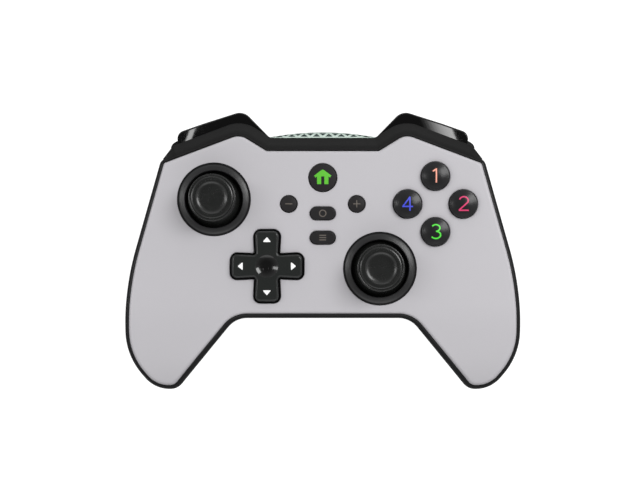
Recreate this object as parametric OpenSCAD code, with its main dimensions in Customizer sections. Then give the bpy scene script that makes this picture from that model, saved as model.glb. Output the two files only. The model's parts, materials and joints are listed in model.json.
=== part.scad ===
// Gamepad controller: a light faceplate on a black body, two thumbsticks, a rocking cross,
// four action buttons, five small buttons, two shoulder bumpers and two shoulder triggers.
// Millimetres. +Z comes out of the face, +Y points to the shoulder side, z = 0 is the table.

/* [Face outline, right half] */
// Half width across the grips
grip_x = 76.1; // [75:0.1:78]
// Where the leaning side turns straight down into the grip
side_knee_y = -14.4; // [-18.4:0.5:-10.4]
// Where the outer side of the grip starts its round end
grip_turn_y = -40.9; // [-41.9:0.1:-39.9]
// Lowest point of the grips
grip_low_y = -53.4; // [-54.4:0.1:-52.4]
// Outer end of the flat under a grip
grip_low_out_x = 66.4; // [66:0.1:67.2]
// Inner end of the flat under a grip
grip_low_in_x = 59.2; // [58.6:0.1:59.8]
// Where the inner side of a grip meets the lower edge
notch_x = 35.3; // [34:0.1:37]
// Lower edge between the grips
lower_edge_y = -24.8; // [-26.4:0.1:-24.4]
// Outer shoulder corner, across
shoulder_x = 62.3; // [61.5:0.1:64]
// Outer shoulder corner, up
shoulder_y = 34.2; // [33.6:0.1:35.1]
// Shoulder peak, across
peak_x = 32.5; // [32:0.1:33.5]
// Shoulder peak, up
peak_y = 45.4; // [44.6:0.1:46.6]
// Half width of the straight bridge between the peaks
bridge_x = 22.06; // [21.5:0.01:22.5]
// Upper edge of the face along the bridge
bridge_y = 38.95; // [38.6:0.05:39.6]

/* [Shells] */
// Height of the flat face above the table
face_z = 40; // [39:0.5:42]
// Wall of the front cover
front_wall = 2.2; // [1.8:0.1:2.6]
// Rounding of the front cover's edge
face_edge_r = 1.2; // [0.8:0.1:1.5]
// Depth of the front cover's side wall
skirt_h = 3; // [2.6:0.1:3.6]
// Where the face starts to bend down into the grips
bend_y = -21.4; // [-23.4:0.5:-20.4]
// Radius of that bend
bend_r = 60; // [55:1:80]
// How far the black rim stands outside the face
rim = 1.8; // [1.5:0.1:2.2]
// Wall of the rear cover
rear_wall = 2.6; // [2.3:0.1:3]
// Gap round the front cover where it sits in the rim
seat_gap = 0.2; // [0.1:0.05:0.3]
// Rise of the back between the belly and each grip
saddle = 5; // [3:0.5:7]
// Depth that is cut flat where the back stands on the table
foot_cut = 0.6; // [0.4:0.1:1]

/* [Shoulders] */
// Width of the matte shoulder strip outside the face
lip = 5.6; // [5.2:0.1:6]
// How far the strip falls across its width
lip_fall = 3.9; // [3.4:0.1:4.4]
// Thickness of the strip
lip_t = 1.7; // [1.5:0.1:2]
// How far the bumper shows beyond the strip at the peak
bumper_show = 3.95; // [3.6:0.05:4.3]
// How far it shows beyond the strip at its outer end
bumper_flare = 5; // [4.6:0.1:5.3]
// Length of the bumper along the shoulder
bumper_len = 24.3; // [23:0.1:25]
// Height of the bumper's front
bumper_h = 9.4; // [8.5:0.1:9.8]
// Swing of the bumper at its limit, in degrees
bumper_swing = 2; // [1:0.1:2]
// Width of the trigger along the shoulder
trigger_w = 27; // [25:0.1:28]
// Thickness of the trigger's finger shell
trigger_t = 2.2; // [1.8:0.1:2.6]
// Pull of the trigger, in degrees
trigger_pull = 14; // [8:1:15]
// Radius of the trigger's steel pin
trigger_pin_r = 1.25; // [1:0.05:1.5]
// Wire of the trigger's spring
spring_wire = 0.6; // [0.5:0.05:0.7]
// How far the light panel bulges out of the bridge
panel_bulge = 2; // [1.5:0.1:2.5]
// Height of the light panel
panel_h = 7.3; // [6.5:0.1:7.5]

/* [Thumbsticks] */
// Left stick, across
left_stick_x = -42.6; // [-43.2:0.1:-42]
// Left stick, up
left_stick_y = 19.9; // [19.2:0.1:20.6]
// Right stick, across
right_stick_x = 22.4; // [21.5:0.1:23]
// Right stick, up
right_stick_y = -7.2; // [-7.6:0.1:-6.6]
// Radius of the ring round a stick
ring_r = 14.2; // [14:0.1:14.6]
// Radius of the opening in the ring
ring_hole_r = 11.2; // [11:0.1:11.4]
// Radius of the stick's cap
cap_r = 9.1; // [8.6:0.1:9.6]
// Height of the cap's top above the face
cap_h = 11.6; // [11:0.1:13]
// Lean of a stick each way, in degrees
stick_lean = 17; // [10:1:18]
// Travel of a stick's click
stick_click = 0.4; // [0.3:0.05:0.5]

/* [Buttons] */
// Direction cross, across
cross_x = -21.8; // [-22.3:0.1:-21.3]
// Direction cross, up
cross_y = -6.3; // [-6.7:0.1:-5.8]
// Span of the cross from arm end to arm end
cross_span = 27.4; // [26:0.1:28]
// Width of an arm at its end
cross_arm = 9.7; // [9.2:0.1:10.2]
// Gap round the cross
cross_gap = 0.9; // [0.7:0.05:1.1]
// Rock of the cross each way, in degrees
cross_rock = 4; // [2:0.5:4]
// Centre of the action buttons, across
action_x = 44.1; // [43.8:0.1:44.5]
// Centre of the action buttons, up
action_y = 18.1; // [17.6:0.1:18.6]
// Distance of each action button from their centre
action_pitch = 10.9; // [10.8:0.1:11.2]
// Radius of an action button
action_r = 5.6; // [5.3:0.1:5.8]
// Height of an action button above the face
action_h = 2.6; // [2.2:0.1:3]
// Travel of an action button
action_travel = 1.4; // [1:0.1:1.6]
// Radius of the home button
home_r = 5.4; // [5.2:0.05:5.6]
// Place of the home button, up
home_y = 28.4; // [28:0.1:28.8]
// Radius of the plus and minus buttons
sign_r = 3.3; // [3.1:0.05:3.5]
// Distance of the plus and minus buttons from the middle
sign_x = 13.3; // [13:0.1:13.8]
// Place of the plus and minus buttons, up
sign_y = 18.1; // [17.6:0.1:18.6]
// Length of an oblong button
oblong_w = 9.7; // [9.3:0.1:10.1]
// Width of an oblong button
oblong_d = 4.9; // [4.7:0.1:5.2]
// Place of the upper oblong button, up
upper_oblong_y = 14.4; // [14.1:0.1:14.8]
// Place of the lower oblong button, up
lower_oblong_y = 4.9; // [4.5:0.1:5.4]
// Height of the small buttons above the face
small_h = 1; // [0.8:0.1:1.4]
// Travel of the small buttons
small_travel = 0.7; // [0.5:0.1:0.8]

/* [Inside] */
// Top of the circuit board below the face
board_drop = 14; // [14:0.1:14.5]
// Thickness of the circuit board
board_t = 1.6; // [1.4:0.1:1.6]
// Length of the battery
battery_w = 40; // [34:1:44]
// Width of the battery
battery_d = 28; // [24:1:30]
// Thickness of the battery
battery_t = 6; // [4:0.5:7]
// Radius of a rumble motor
motor_r = 7; // [6:0.1:7.2]
// Length of a rumble motor
motor_len = 16; // [13:0.5:17]
// Radius of a motor's off-centre weight
weight_r = 8.3; // [7.5:0.1:8.6]
// Radius of a case screw's shank
screw_r = 1.1; // [1:0.05:1.2]

/* [Hidden] */
$fn = 48;
fit = 0.05;          // clearance of pieces that are pushed together
run = 0.06;          // radial clearance of a turning pin
slack = 0.3;         // clearance of pieces that pass each other
button_gap = 0.25;   // gap round a button in the face
peak_r = 6.5;        // rounding of the shoulder peak

// Outline corners from the lower edge round the grip to the bridge: x, y, radius, arc steps.
SHAPE = [
    [notch_x, lower_edge_y, 12, 4],
    [grip_low_in_x, grip_low_y, 3.8, 3],
    [grip_low_out_x, grip_low_y, 10, 3],
    [grip_x, grip_turn_y, 26, 3],
    [grip_x, side_knee_y, 110, 2],
    [shoulder_x, shoulder_y, 1.5, 1],
    [peak_x, peak_y, peak_r, 3],
    [bridge_x, bridge_y, 1.2, 1]
];
LOW_MID = [0, lower_edge_y];
TOP_MID = [0, bridge_y];

// A corner's rounding gives way where its arc and the next one would overrun the edge between them.
OUTLINE = concat([LOW_MID], SHAPE, [TOP_MID]);
function edge_of(i) = xy(OUTLINE[i + 1]) - xy(OUTLINE[i]);
function arc_reach(i) = i == 0 || i == len(OUTLINE) - 1 ? 0
    : OUTLINE[i][2] * tan(acos(unit(edge_of(i - 1)) * unit(edge_of(i))) / 2);
function edge_room(i) = norm(edge_of(i)) / (arc_reach(i) + arc_reach(i + 1));
CORNERS = [for (i = [1 : len(SHAPE)])
    [each xy(OUTLINE[i]), OUTLINE[i][2] * min(1, edge_room(i - 1), edge_room(i)), OUTLINE[i][3]]];

// Directions along and out of the sloping shoulder and the short diagonal beside the bridge.
PEAK = [peak_x, peak_y];
SHOULDER = [shoulder_x, shoulder_y];
slope_dir = unit(SHOULDER - PEAK);
slope_out = [-slope_dir.y, slope_dir.x];
slope_len = norm(SHOULDER - PEAK);
diag_dir = unit([bridge_x, bridge_y] - PEAK);
diag_out = [diag_dir.y, -diag_dir.x];
shoulder_turn = atan2(slope_dir.y, slope_dir.x);

// Levels
board_z = face_z - board_drop;
lip_top_z = face_z - 0.5;
lip_edge_z = lip_top_z - lip_fall;
crown_z = face_z - 6;
bumper_top_z = lip_edge_z - lip_t - 0.5;
bumper_low_z = bumper_top_z - bumper_h;
panel_top_z = crown_z - 0.15;

// Vector helpers
function unit(v) = v / norm(v);
function xy(p) = [p[0], p[1]];
function right_of(v) = [v.y, -v.x];
function flip(p) = len(p) == 2 ? [-p.x, p.y] : [-p.x, p.y, p.z];
function mix(a, b, t) = a * (1 - t) + b * t;
function joined(lists) = [for (l = lists) each l];
function reversed(l) = [for (i = [len(l) - 1 : -1 : 0]) l[i]];
function sorted(l) = len(l) < 2 ? l : let (p = l[0]) concat(
    sorted([for (v = l) if (v < p) v]), [for (v = l) if (v == p) v], sorted([for (v = l) if (v > p) v]));

// Points of a corner between two edges, moved out by o: an arc for a round corner.
function corner_arc(before, corner, after, o) =
    let (n1 = right_of(unit(xy(corner) - xy(before))),
         n2 = right_of(unit(xy(after) - xy(corner))),
         turn_left = cross(n1, n2) >= 0,
         miter = (n1 + n2) / (1 + n1 * n2),
         r = max(corner[2] + (turn_left ? o : -o), 0.1),
         tip = xy(corner) + miter * o,
         mid = turn_left ? tip - miter * r : tip + miter * r,
         a1 = atan2(n1.y, n1.x),
         da = atan2(cross(n1, n2), n1 * n2),
         steps = corner[3])
    [for (k = [0 : steps]) let (a = a1 + da * (steps == 0 ? 0.5 : k / steps))
        mid + (turn_left ? r : -r) * [cos(a), sin(a)]];

// The right half of the outline from the lower middle to the upper middle, moved out by o.
function half_chain(o) = concat(
    [LOW_MID - [0, o]],
    joined([for (i = [0 : len(CORNERS) - 1])
        corner_arc(i == 0 ? LOW_MID : CORNERS[i - 1], CORNERS[i],
                   i == len(CORNERS) - 1 ? TOP_MID : CORNERS[i + 1], o)]),
    [TOP_MID + [0, o]]);

// Arc length along the half outline, and the chain number at which each corner starts.
BASE = half_chain(0);
function run_lengths(p, i = 0, s = 0) =
    i == len(p) - 1 ? [s] : concat([s], run_lengths(p, i + 1, s + norm(p[i + 1] - p[i])));
ALONG = run_lengths(BASE);
ALL_LEN = ALONG[len(ALONG) - 1];
function first_of(k) = k == 0 ? 1 : first_of(k - 1) + CORNERS[k - 1][3] + 1;
function last_of(k) = first_of(k) + CORNERS[k][3];

// The grip's round end runs from halfway along its inner side to the end of its outer turn.
tip_in = mix(ALONG[last_of(0)], ALONG[first_of(1)], 0.5);
tip_out = ALONG[last_of(3)];
TIP_RUNS = concat([mix(tip_in, ALONG[first_of(1)], 0.5)],
                  [for (i = [first_of(1) : last_of(3) - 1]) ALONG[i]]);

// Shares of the way from the middle to the grip, common to the upper and the lower side.
CORNER_SHARES = sorted(concat(
    [for (i = [first_of(0) : last_of(0)]) ALONG[i] / tip_in],
    [for (i = [first_of(4) : last_of(7)]) (ALL_LEN - ALONG[i]) / (ALL_LEN - tip_out)]));
EVEN_SHARES = [for (k = [1 : 9]) if (min([for (s = CORNER_SHARES) abs(s - k / 10)]) > 0.035) k / 10];
SHARES = concat([0], sorted(concat(CORNER_SHARES, EVEN_SHARES)), [1]);
K = len(SHARES);
T = len(TIP_RUNS);

// Places on the outline as [chain number, fraction], so that every offset is sampled alike.
function locate(s) =
    let (j = min(max([for (i = [0 : len(ALONG) - 1]) if (ALONG[i] <= s + 1e-9) i]), len(ALONG) - 2))
    [j, (s - ALONG[j]) / max(ALONG[j + 1] - ALONG[j], 1e-6)];
LOW_PLACES = [for (f = SHARES) locate(f * tip_in)];
TIP_PLACES = [for (s = TIP_RUNS) locate(s)];
TOP_PLACES = [for (f = SHARES) locate(ALL_LEN - f * (ALL_LEN - tip_out))];
function at(chain, place) = mix(chain[place[0]], chain[place[0] + 1], place[1]);

// The whole outline as a closed ring, anticlockwise from the lower middle.
function ring(o) =
    let (c = half_chain(o),
         low = [for (p = LOW_PLACES) at(c, p)],
         tip = [for (p = TIP_PLACES) at(c, p)],
         top = [for (p = TOP_PLACES) at(c, p)])
    concat(low, tip, reversed(top),
           [for (i = [1 : K - 1]) flip(top[i])],
           [for (i = [T - 1 : -1 : 0]) flip(tip[i])],
           [for (i = [K - 1 : -1 : 1]) flip(low[i])]);

// The spine runs midway between the upper and the lower side, from grip to grip.
SPINE_RIGHT = [for (i = [0 : K - 1]) (at(BASE, LOW_PLACES[i]) + at(BASE, TOP_PLACES[i])) / 2];
SPINE = concat(SPINE_RIGHT, [for (i = [1 : K - 1]) flip(SPINE_RIGHT[i])]);
SPINE_SHARE = concat(SHARES, [for (i = [1 : K - 1]) SHARES[i]]);
SPINE_OF = concat([for (i = [0 : K - 1]) i], [for (i = [1 : T]) K - 1],
                  [for (i = [K - 1 : -1 : 0]) i], [for (i = [1 : K - 1]) K - 1 + i],
                  [for (i = [1 : T]) 2 * K - 2], [for (i = [K - 1 : -1 : 1]) K - 1 + i]);

// How far the face has bent down at a height y, and the back of the body along the spine.
function drop(y) = y < bend_y ? bend_r - sqrt(pow(bend_r, 2) - pow(bend_y - y, 2)) : 0;
function back_z(share) = saddle * pow(sin(180 * share), 2) - foot_cut;
function under_face(pts, dz) = [for (p = pts) [p.x, p.y, face_z - drop(p.y) + dz]];

// A closed skin through rings of points from the top down, closed along the spine at both ends.
module spine_loft(rings, spine_top, spine_low) {
    n = len(rings[0]);
    m = len(rings);
    a = n * m;
    b = a + len(spine_top);
    sides = [for (r = [0 : m - 2], i = [0 : n - 1]) let (j = (i + 1) % n)
        each [[r * n + i, r * n + j, (r + 1) * n + j], [r * n + i, (r + 1) * n + j, (r + 1) * n + i]]];
    roof = [for (i = [0 : n - 1]) let (j = (i + 1) % n, s = SPINE_OF[i], t = SPINE_OF[j])
        each concat([[j, i, a + s]], s == t ? [] : [[j, a + s, a + t]])];
    base = [for (i = [0 : n - 1]) let (j = (i + 1) % n, s = SPINE_OF[i], t = SPINE_OF[j], q = (m - 1) * n)
        each concat([[q + i, q + j, b + t]], s == t ? [] : [[q + i, b + t, b + s]])];
    polyhedron(concat(joined(rings), spine_top, spine_low), concat(sides, roof, base));
}

// A closed skin through equal sections along a path. Each section is a convex loop.
module section_loft(sections) {
    n = len(sections[0]);
    m = len(sections);
    sides = [for (r = [0 : m - 2], i = [0 : n - 1]) let (j = (i + 1) % n)
        each [[r * n + i, r * n + j, (r + 1) * n + j], [r * n + i, (r + 1) * n + j, (r + 1) * n + i]]];
    first = [for (i = [1 : n - 2]) [0, i + 1, i]];
    last = [for (i = [1 : n - 2]) [(m - 1) * n, (m - 1) * n + i, (m - 1) * n + i + 1]];
    polyhedron(joined(sections), concat(sides, first, last));
}

// The curved back between a rim ring and the spine: a squared ellipse in every section.
squareness = 2 / 2.6;
function back_ring(rim_pts, rim_z, spine_lift, a) =
    [for (i = [0 : len(rim_pts) - 1])
        let (p = rim_pts[i], m = SPINE[SPINE_OF[i]], z = face_z - drop(p.y) + rim_z,
             low = back_z(SPINE_SHARE[SPINE_OF[i]]) + spine_lift,
             inset = 1 - pow(cos(a), squareness), down = pow(sin(a), squareness))
        [each mix(p, m, inset), mix(z, low, down)]];
function spine_at(lift) = [for (i = [0 : len(SPINE) - 1]) [each SPINE[i], back_z(SPINE_SHARE[i]) + lift]];
function spine_face(dz) = under_face(SPINE, dz);
BACK_ANGLES = [18, 36, 52, 66, 79];

rim_drop = 4;        // the rim is widest this far below the face
rim_edge = 1;        // and its inner edge is this far below it
module rear_body() {
    bead = [for (a = [0, 30, 60, 90])
        under_face(ring(mix(seat_gap, rim, sin(a))), -mix(rim_drop, rim_edge, cos(a)))];
    back = [for (a = BACK_ANGLES) back_ring(ring(rim), -rim_drop, 0, a)];
    spine_loft(concat(bead, back), spine_face(-rim_edge), spine_at(0));
}

module rear_cavity() {
    inner = rim - rear_wall;
    top = 20;
    mouth = [under_face(ring(seat_gap), top), under_face(ring(seat_gap), -skirt_h - fit),
             under_face(ring(inner), -skirt_h - fit), under_face(ring(inner), -rim_drop)];
    back = [for (a = BACK_ANGLES) back_ring(ring(inner), -rim_drop, rear_wall, a)];
    spine_loft(concat(mouth, back), spine_face(top), spine_at(rear_wall));
}

module front_body() {
    edge = [for (a = [90, 45, 0])
        under_face(ring(face_edge_r * (cos(a) - 1)), face_edge_r * (sin(a) - 1))];
    top = [for (t = [0.75, 0.4]) let (r = ring(-face_edge_r))
        under_face([for (i = [0 : len(r) - 1]) mix(r[i], SPINE[SPINE_OF[i]], t)], 0)];
    foot = [for (o = [0, -front_wall]) under_face(ring(o), -skirt_h)];
    spine_loft(concat(top, edge, foot), spine_face(0), spine_face(-skirt_h));
}

module front_cavity() {
    depth = 12;
    skirt_wall = front_wall - 0.4;
    r = ring(-skirt_wall);
    top = [for (t = [0.75, 0.4, 0])
        under_face([for (i = [0 : len(r) - 1]) mix(r[i], SPINE[SPINE_OF[i]], t)], -front_wall)];
    spine_loft(concat(top, [under_face(r, -depth)]), spine_face(-front_wall), spine_face(-depth));
}

// Case screws come in from the back, through rear posts into bosses under the face.
SCREWS = [[0, -16], [63, 4], [-63, 4], [61, -42], [-61, -42]];
screw_joint_z = 20;
screw_reach = 9;
screw_head_z = 12.5;
screw_head_r = 2.2;
screw_head_h = 1.8;
post_r = 3.6;
boss_r = 3.2;
screw_way = 0.15;    // clearance of a screw in its rear post
BOARD_SCREWS = [[13, 33.2], [-13, 33.2], [46, -8], [-46, -8]];
board_boss_r = 2;
board_screw_r = 0.8;
board_screw_bite = 4.5;
board_screw_head_r = 1.5;
board_screw_head_h = 1.2;

// Shoulder places: t along the slope or the diagonal from the peak, o out from the face edge.
function on_slope(t, o) = PEAK + t * slope_dir + o * slope_out;
function on_diag(t, o) = PEAK + t * diag_dir + o * diag_out;
function at_peak(o) = PEAK + o * (slope_out + diag_out) / (1 + slope_out * diag_out);
function at_bridge(o) = [bridge_x, bridge_y] + o * (diag_out + [0, 1]) / (1 + diag_out.y);

// An open chain of round corners: the first and last are plain points.
function open_chain(c) = concat([xy(c[0])],
    joined([for (i = [1 : len(c) - 2]) corner_arc(c[i - 1], c[i], c[i + 1], 0)]),
    [xy(c[len(c) - 1])]);

function roof_z(o) = lip_top_z - lip_fall * (o - seat_gap) / (lip - seat_gap);
module shoulder_bridge() {
    web = 1.7;
    out_end = slope_len - 0.2;
    step_t = bumper_len + 2;
    function chain(o_end, o) = open_chain([
        on_slope(out_end, o_end), [each on_slope(step_t, o), 0.1, 0],
        [each at_peak(o), peak_r + o, 4], [each at_bridge(o), 0.8, 1], [0, bridge_y + o]]);
    inside = chain(seat_gap, seat_gap);
    stem = chain(web, web);
    edge = chain(web + 0.1, lip);
    half = [for (i = [0 : len(edge) - 1]) let (z = roof_z(i == 0 ? web + 0.1 : lip))
        [[each inside[i], lip_top_z], [each inside[i], crown_z + fit], [each stem[i], crown_z + fit],
         [each stem[i], roof_z(web) - lip_t], [each edge[i], z - lip_t], [each edge[i], z]]];
    color("#242424") difference() {
        section_loft(concat(half, [for (i = [len(half) - 2 : -1 : 0]) [for (p = half[i]) flip(p)]]));
        for (s = [1, -1]) bumper_axis(s) translate([0, 0, crown_z - 2])
            cylinder(r = bumper_stub_r + run, h = bumper_stub_top + fit - crown_z + 2);
    }
}

// Bumper: a rounded bar under the shoulder strip that swings on a stub near the bridge.
bumper_back = 3.4;
bumper_stub_r = 0.95;
bumper_stub_top = lip_edge_z + 0.2;
BUMPER_AXIS = on_diag(6.6, 4.15);
module bumper_axis(side) { translate([side * BUMPER_AXIS.x, BUMPER_AXIS.y, 0]) children(); }

module bumper(side) {
    show_o = lip + bumper_show;
    flare_o = lip + bumper_flare;
    root = on_slope(bumper_len, lip + 0.6);
    heel = [each on_slope(bumper_len - 0.9, flare_o), 3.2, 4];
    crest_r = 40;
    crest = [each on_slope(bumper_len / 2, (show_o + flare_o) / 2 + 0.3), crest_r, 2];
    nose = [each at_peak(show_o), 5.5, 4];
    tail_run = 9.3;
    tail = on_diag(tail_run, lip + 0.3);
    outer = concat([root], corner_arc(root, heel, crest, 0), corner_arc(heel, crest, nose, 0));
    front = concat(outer, corner_arc(crest, nose, tail, 0), [tail]);
    back = concat([for (p = outer) on_slope((p - PEAK) * slope_dir, bumper_back)],
        corner_arc(on_slope(4, bumper_back), [each at_peak(bumper_back), 2, 4], on_diag(4, bumper_back), 0),
        [on_diag(tail_run - 1.5, bumper_back)]);
    round_z = 2;
    flat_share = 0.86;
    function section(b, f) = let (e = mix(b, f, flat_share)) concat(
        [[each b, bumper_low_z], [each mix(b, f, 0.9), bumper_low_z], [each f, bumper_low_z + 0.8]],
        [for (a = [0 : 22.5 : 90]) [each mix(e, f, cos(a)), bumper_top_z - round_z * (1 - sin(a))]],
        [[each b, bumper_top_z]]);
    color("#0c0c0c") mirrored(side) {
        section_loft([for (i = [0 : len(front) - 1]) section(back[i], front[i])]);
        bumper_axis(1) translate([0, 0, bumper_low_z + 1])
            cylinder(r = bumper_stub_r, h = bumper_stub_top - bumper_low_z - 1);
    }
}

module mirrored(side) { mirror([side < 0 ? 1 : 0, 0, 0]) children(); }

// Trigger bay: a notch in the back below each bumper, in the shoulder's own directions.
bay_u = -8;
bay_top = bumper_low_z - 1.6;
bay_side = trigger_w / 2 + 0.6;
bay_wall = 1.8;
bay_reach = 40;      // far enough to open the bay through the back
pin_reach = bay_side + bay_wall * 0.7;
pin_u = -3.2;
pin_z = bay_top - 5.2;
hub_r = trigger_pin_r + 1.5;
shoulder_mid = on_slope(slope_len / 2 - 1.2, 0);
module shoulder_frame(side) {
    mirrored(side) translate([shoulder_mid.x, shoulder_mid.y, 0]) rotate(shoulder_turn) children();
}

module bay(grow) {
    below = 5;
    half = bay_side + grow;
    translate([-half, bay_u - grow, -below]) cube([2 * half, bay_reach, bay_top + grow + below]);
}

module along_pin(x0, x1) {
    translate([x0, pin_u, pin_z]) rotate([0, 90, 0]) linear_extrude(x1 - x0) children();
}

// Finger curve of the trigger in its side view, from under the bumper down to the tip.
trigger_tip_z = 5.6;
function curve_point(p, t) = pow(1 - t, 3) * p[0] + 3 * t * pow(1 - t, 2) * p[1]
    + 3 * t * t * (1 - t) * p[2] + pow(t, 3) * p[3];
FINGER_ENDS = [[8.4, bumper_low_z - 0.8], [9.8, bumper_low_z - 7],
               [4.4, trigger_tip_z + 5.5], [7.6, trigger_tip_z]];
FINGER = [for (t = [0 : 0.1 : 1]) curve_point(FINGER_ENDS, t)];

trigger_round = 3.5;
trigger_round_in = 2.2;
module trigger(side) {
    half_w = trigger_w / 2;
    cheek_t = 2;
    function inset(x) = let (t = max(abs(x) - half_w + trigger_round, 0) / trigger_round)
        trigger_round_in * (1 - sqrt(max(1 - t * t, 0)));
    function section(x) = concat([for (p = FINGER) [x, p.x - inset(x), p.y]],
        [for (p = reversed(FINGER)) [x, p.x - inset(x) - trigger_t, p.y]]);
    bend = [for (k = [0 : 4]) half_w - trigger_round * (1 - sin(22.5 * k))];
    cheek = concat([for (p = FINGER) p - [trigger_round_in + 0.1, 0]],
        [[1, trigger_tip_z + 1], [pin_u - hub_r, pin_z - 0.5], [pin_u - hub_r, pin_z + 0.5],
         [pin_u, pin_z + hub_r], [3, bay_top - slack]]);
    color("#141414") shoulder_frame(side) difference() {
        union() {
            section_shell([for (x = concat(-reversed(bend), [-4, 4], bend)) section(x)]);
            for (x = [-half_w, half_w - cheek_t]) side_plate(x, x + cheek_t) polygon(cheek);
        }
        along_pin(-half_w - 1, half_w + 1) circle(r = trigger_pin_r + run);
    }
}

// Extrudes an outline in the side view (out, up) along the shoulder from x0 to x1.
module side_plate(x0, x1) {
    translate([x0, 0, 0]) rotate([90, 0, 90]) linear_extrude(x1 - x0) children();
}

// Stop rib on the bay's back wall: the inside of the pulled finger comes to rest just before it.
function pulled(p) = let (d = p - [pin_u, pin_z], c = cos(trigger_pull), s = sin(trigger_pull))
    [pin_u + d.x * c + d.y * s, pin_z - d.x * s + d.y * c];
module trigger_stop() {
    half_w = 1.5;
    face = [for (i = [6 : 8]) pulled(FINGER[i] - [trigger_t, 0]) - [slack, 0]];
    side_plate(-half_w, half_w) polygon(concat(face, [[bay_u - 0.5, face[2].y], [bay_u - 0.5, face[0].y]]));
}

module trigger_pin(side) color("silver") {
    shoulder_frame(side) along_pin(-pin_reach, pin_reach) circle(r = trigger_pin_r);
}

// Torsion spring on the pin: a coil with one leg on the trigger and one on the bay.
module trigger_spring(side) {
    turns = 4;
    steps = 8;
    coil_r = trigger_pin_r + 0.5 + spring_wire / 2;
    pitch = spring_wire + 0.5;
    start = -trigger_w / 2 + 2.6;
    leg = 5;
    function coil(k) = let (a = 360 * k / steps)
        [start + pitch * k / steps, pin_u + coil_r * cos(a), pin_z + coil_r * sin(a)];
    path = concat([coil(0) + [0, 0, -leg]], [for (k = [0 : turns * steps]) coil(k)],
                  [coil(turns * steps) + [0, 0, -leg]]);
    color("gray") shoulder_frame(side) tube(path, spring_wire / 2, 6);
}

// A tube of flat sides swept along points, with square ends.
function heading(p, i) = unit(p[min(i + 1, len(p) - 1)] - p[max(i - 1, 0)]);
module tube(path, r, n) {
    sections = [for (i = [0 : len(path) - 1])
        let (d = heading(path, i), aside = abs(d.x) < 0.8 ? [1, 0, 0] : [0, 0, 1],
             x = unit(cross(d, aside)), y = cross(d, x))
        [for (k = [0 : n - 1]) path[i] + r * (x * cos(360 * k / n) - y * sin(360 * k / n))]];
    section_loft(sections);
}

// Light panel: a convex window under the bridge, with a diffuser and a light board behind it.
panel_t = 1.6;
panel_rise = 1.5;
panel_half = bridge_x - 1;
panel_root = bridge_y + rim;
function bow(u) = u < 0.6 ? sqrt(1 - pow(1 - u / 0.6, 2)) : 1 - 0.25 * pow((u - 0.6) / 0.4, 2);
module light_panel() {
    STATIONS = [for (k = [-7 : 7]) k / 7];
    LEVELS = [0, 0.06, 0.16, 0.32, 0.6, 0.8, 1];
    function front_y(s, u) = bridge_y + lip - 0.7 + (panel_rise + panel_bulge * (1 - s * s)) * bow(u);
    function section(s) = concat(
        [for (u = LEVELS) [s * panel_half, front_y(s, u), panel_top_z - u * panel_h]],
        [for (u = reversed(LEVELS)) [s * panel_half, front_y(s, u) - panel_t, panel_top_z - u * panel_h]]);
    color("#cfe6d8") section_shell([for (s = STATIONS) section(s)]);
}

// A skin through sections that fold back on themselves; opposite points close the ends.
module section_shell(sections) {
    n = len(sections[0]);
    m = len(sections);
    q = (m - 1) * n;
    sides = [for (r = [0 : m - 2], i = [0 : n - 1]) let (j = (i + 1) % n)
        each [[r * n + i, r * n + j, (r + 1) * n + j], [r * n + i, (r + 1) * n + j, (r + 1) * n + i]]];
    first = [for (i = [0 : n / 2 - 2]) let (a = i, b = i + 1, c = n - 2 - i, d = n - 1 - i)
        each [[a, c, b], [a, d, c]]];
    polyhedron(joined(sections), concat(sides, first, [for (t = first) [q + t[0], q + t[2], q + t[1]]]));
}

light_inset = 1.1;
light_h = panel_h - 2 * light_inset;
light_low = panel_top_z - light_inset - light_h;
module light_diffuser() color("white") {
    half = panel_half - 0.5;
    translate([-half, panel_root + 1.5, light_low]) cube([2 * half, 0.7, light_h]);
}

module light_board() color("#1c5c34") {
    half = panel_half - 1.5;
    t = 0.8;
    led = [1.6, 0.6, 1.6];
    led_pitch = 5.4;
    translate([-half, panel_root + fit, light_low]) cube([2 * half, t, light_h]);
    for (k = [-3 : 3])
        translate([k * led_pitch - led.x / 2, panel_root + fit + t - 0.1, light_low + (light_h - led.z) / 2])
            cube(led);
}

// Front cover with its bosses and every opening in the face.
module front_cover() color("#c5c2c6") {
    difference() {
        union() {
            difference() {
                front_body();
                front_cavity();
            }
            for (p = SCREWS) standoff(p, boss_r, screw_joint_z + fit);
            for (p = BOARD_SCREWS) standoff(p, board_boss_r, board_z);
        }
        for (p = SCREWS) translate([p.x, p.y, screw_joint_z - 1])
            cylinder(r = screw_r + fit, h = screw_reach + 1.5);
        for (p = BOARD_SCREWS) translate([p.x, p.y, board_z - 1])
            cylinder(r = board_screw_r + fit, h = board_screw_bite + 1.5);
        through_face() {
            for (s = [-1, 1]) stick_at(s) circle(r = ring_r - ring_flange + fit);
            translate([cross_x, cross_y]) polygon(cross_outline(cross_gap));
            for (k = [0 : 3]) action_at(k) circle(r = action_r + button_gap);
            translate([0, home_y]) circle(r = home_r + button_gap);
            for (s = [-1, 1]) translate([s * sign_x, sign_y]) circle(r = sign_r + button_gap);
            for (y = [upper_oblong_y, lower_oblong_y]) translate([0, y]) oblong(button_gap);
        }
    }
}

module standoff(p, r, low) {
    bite = 0.7;
    translate([p.x, p.y, low]) cylinder(r = r, h = face_z - drop(p.y) - front_wall + bite - low);
}

module through_face() {
    over = 2;
    translate([0, 0, face_z - front_wall - over]) linear_extrude(front_wall + 2 * over) children();
}

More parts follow.
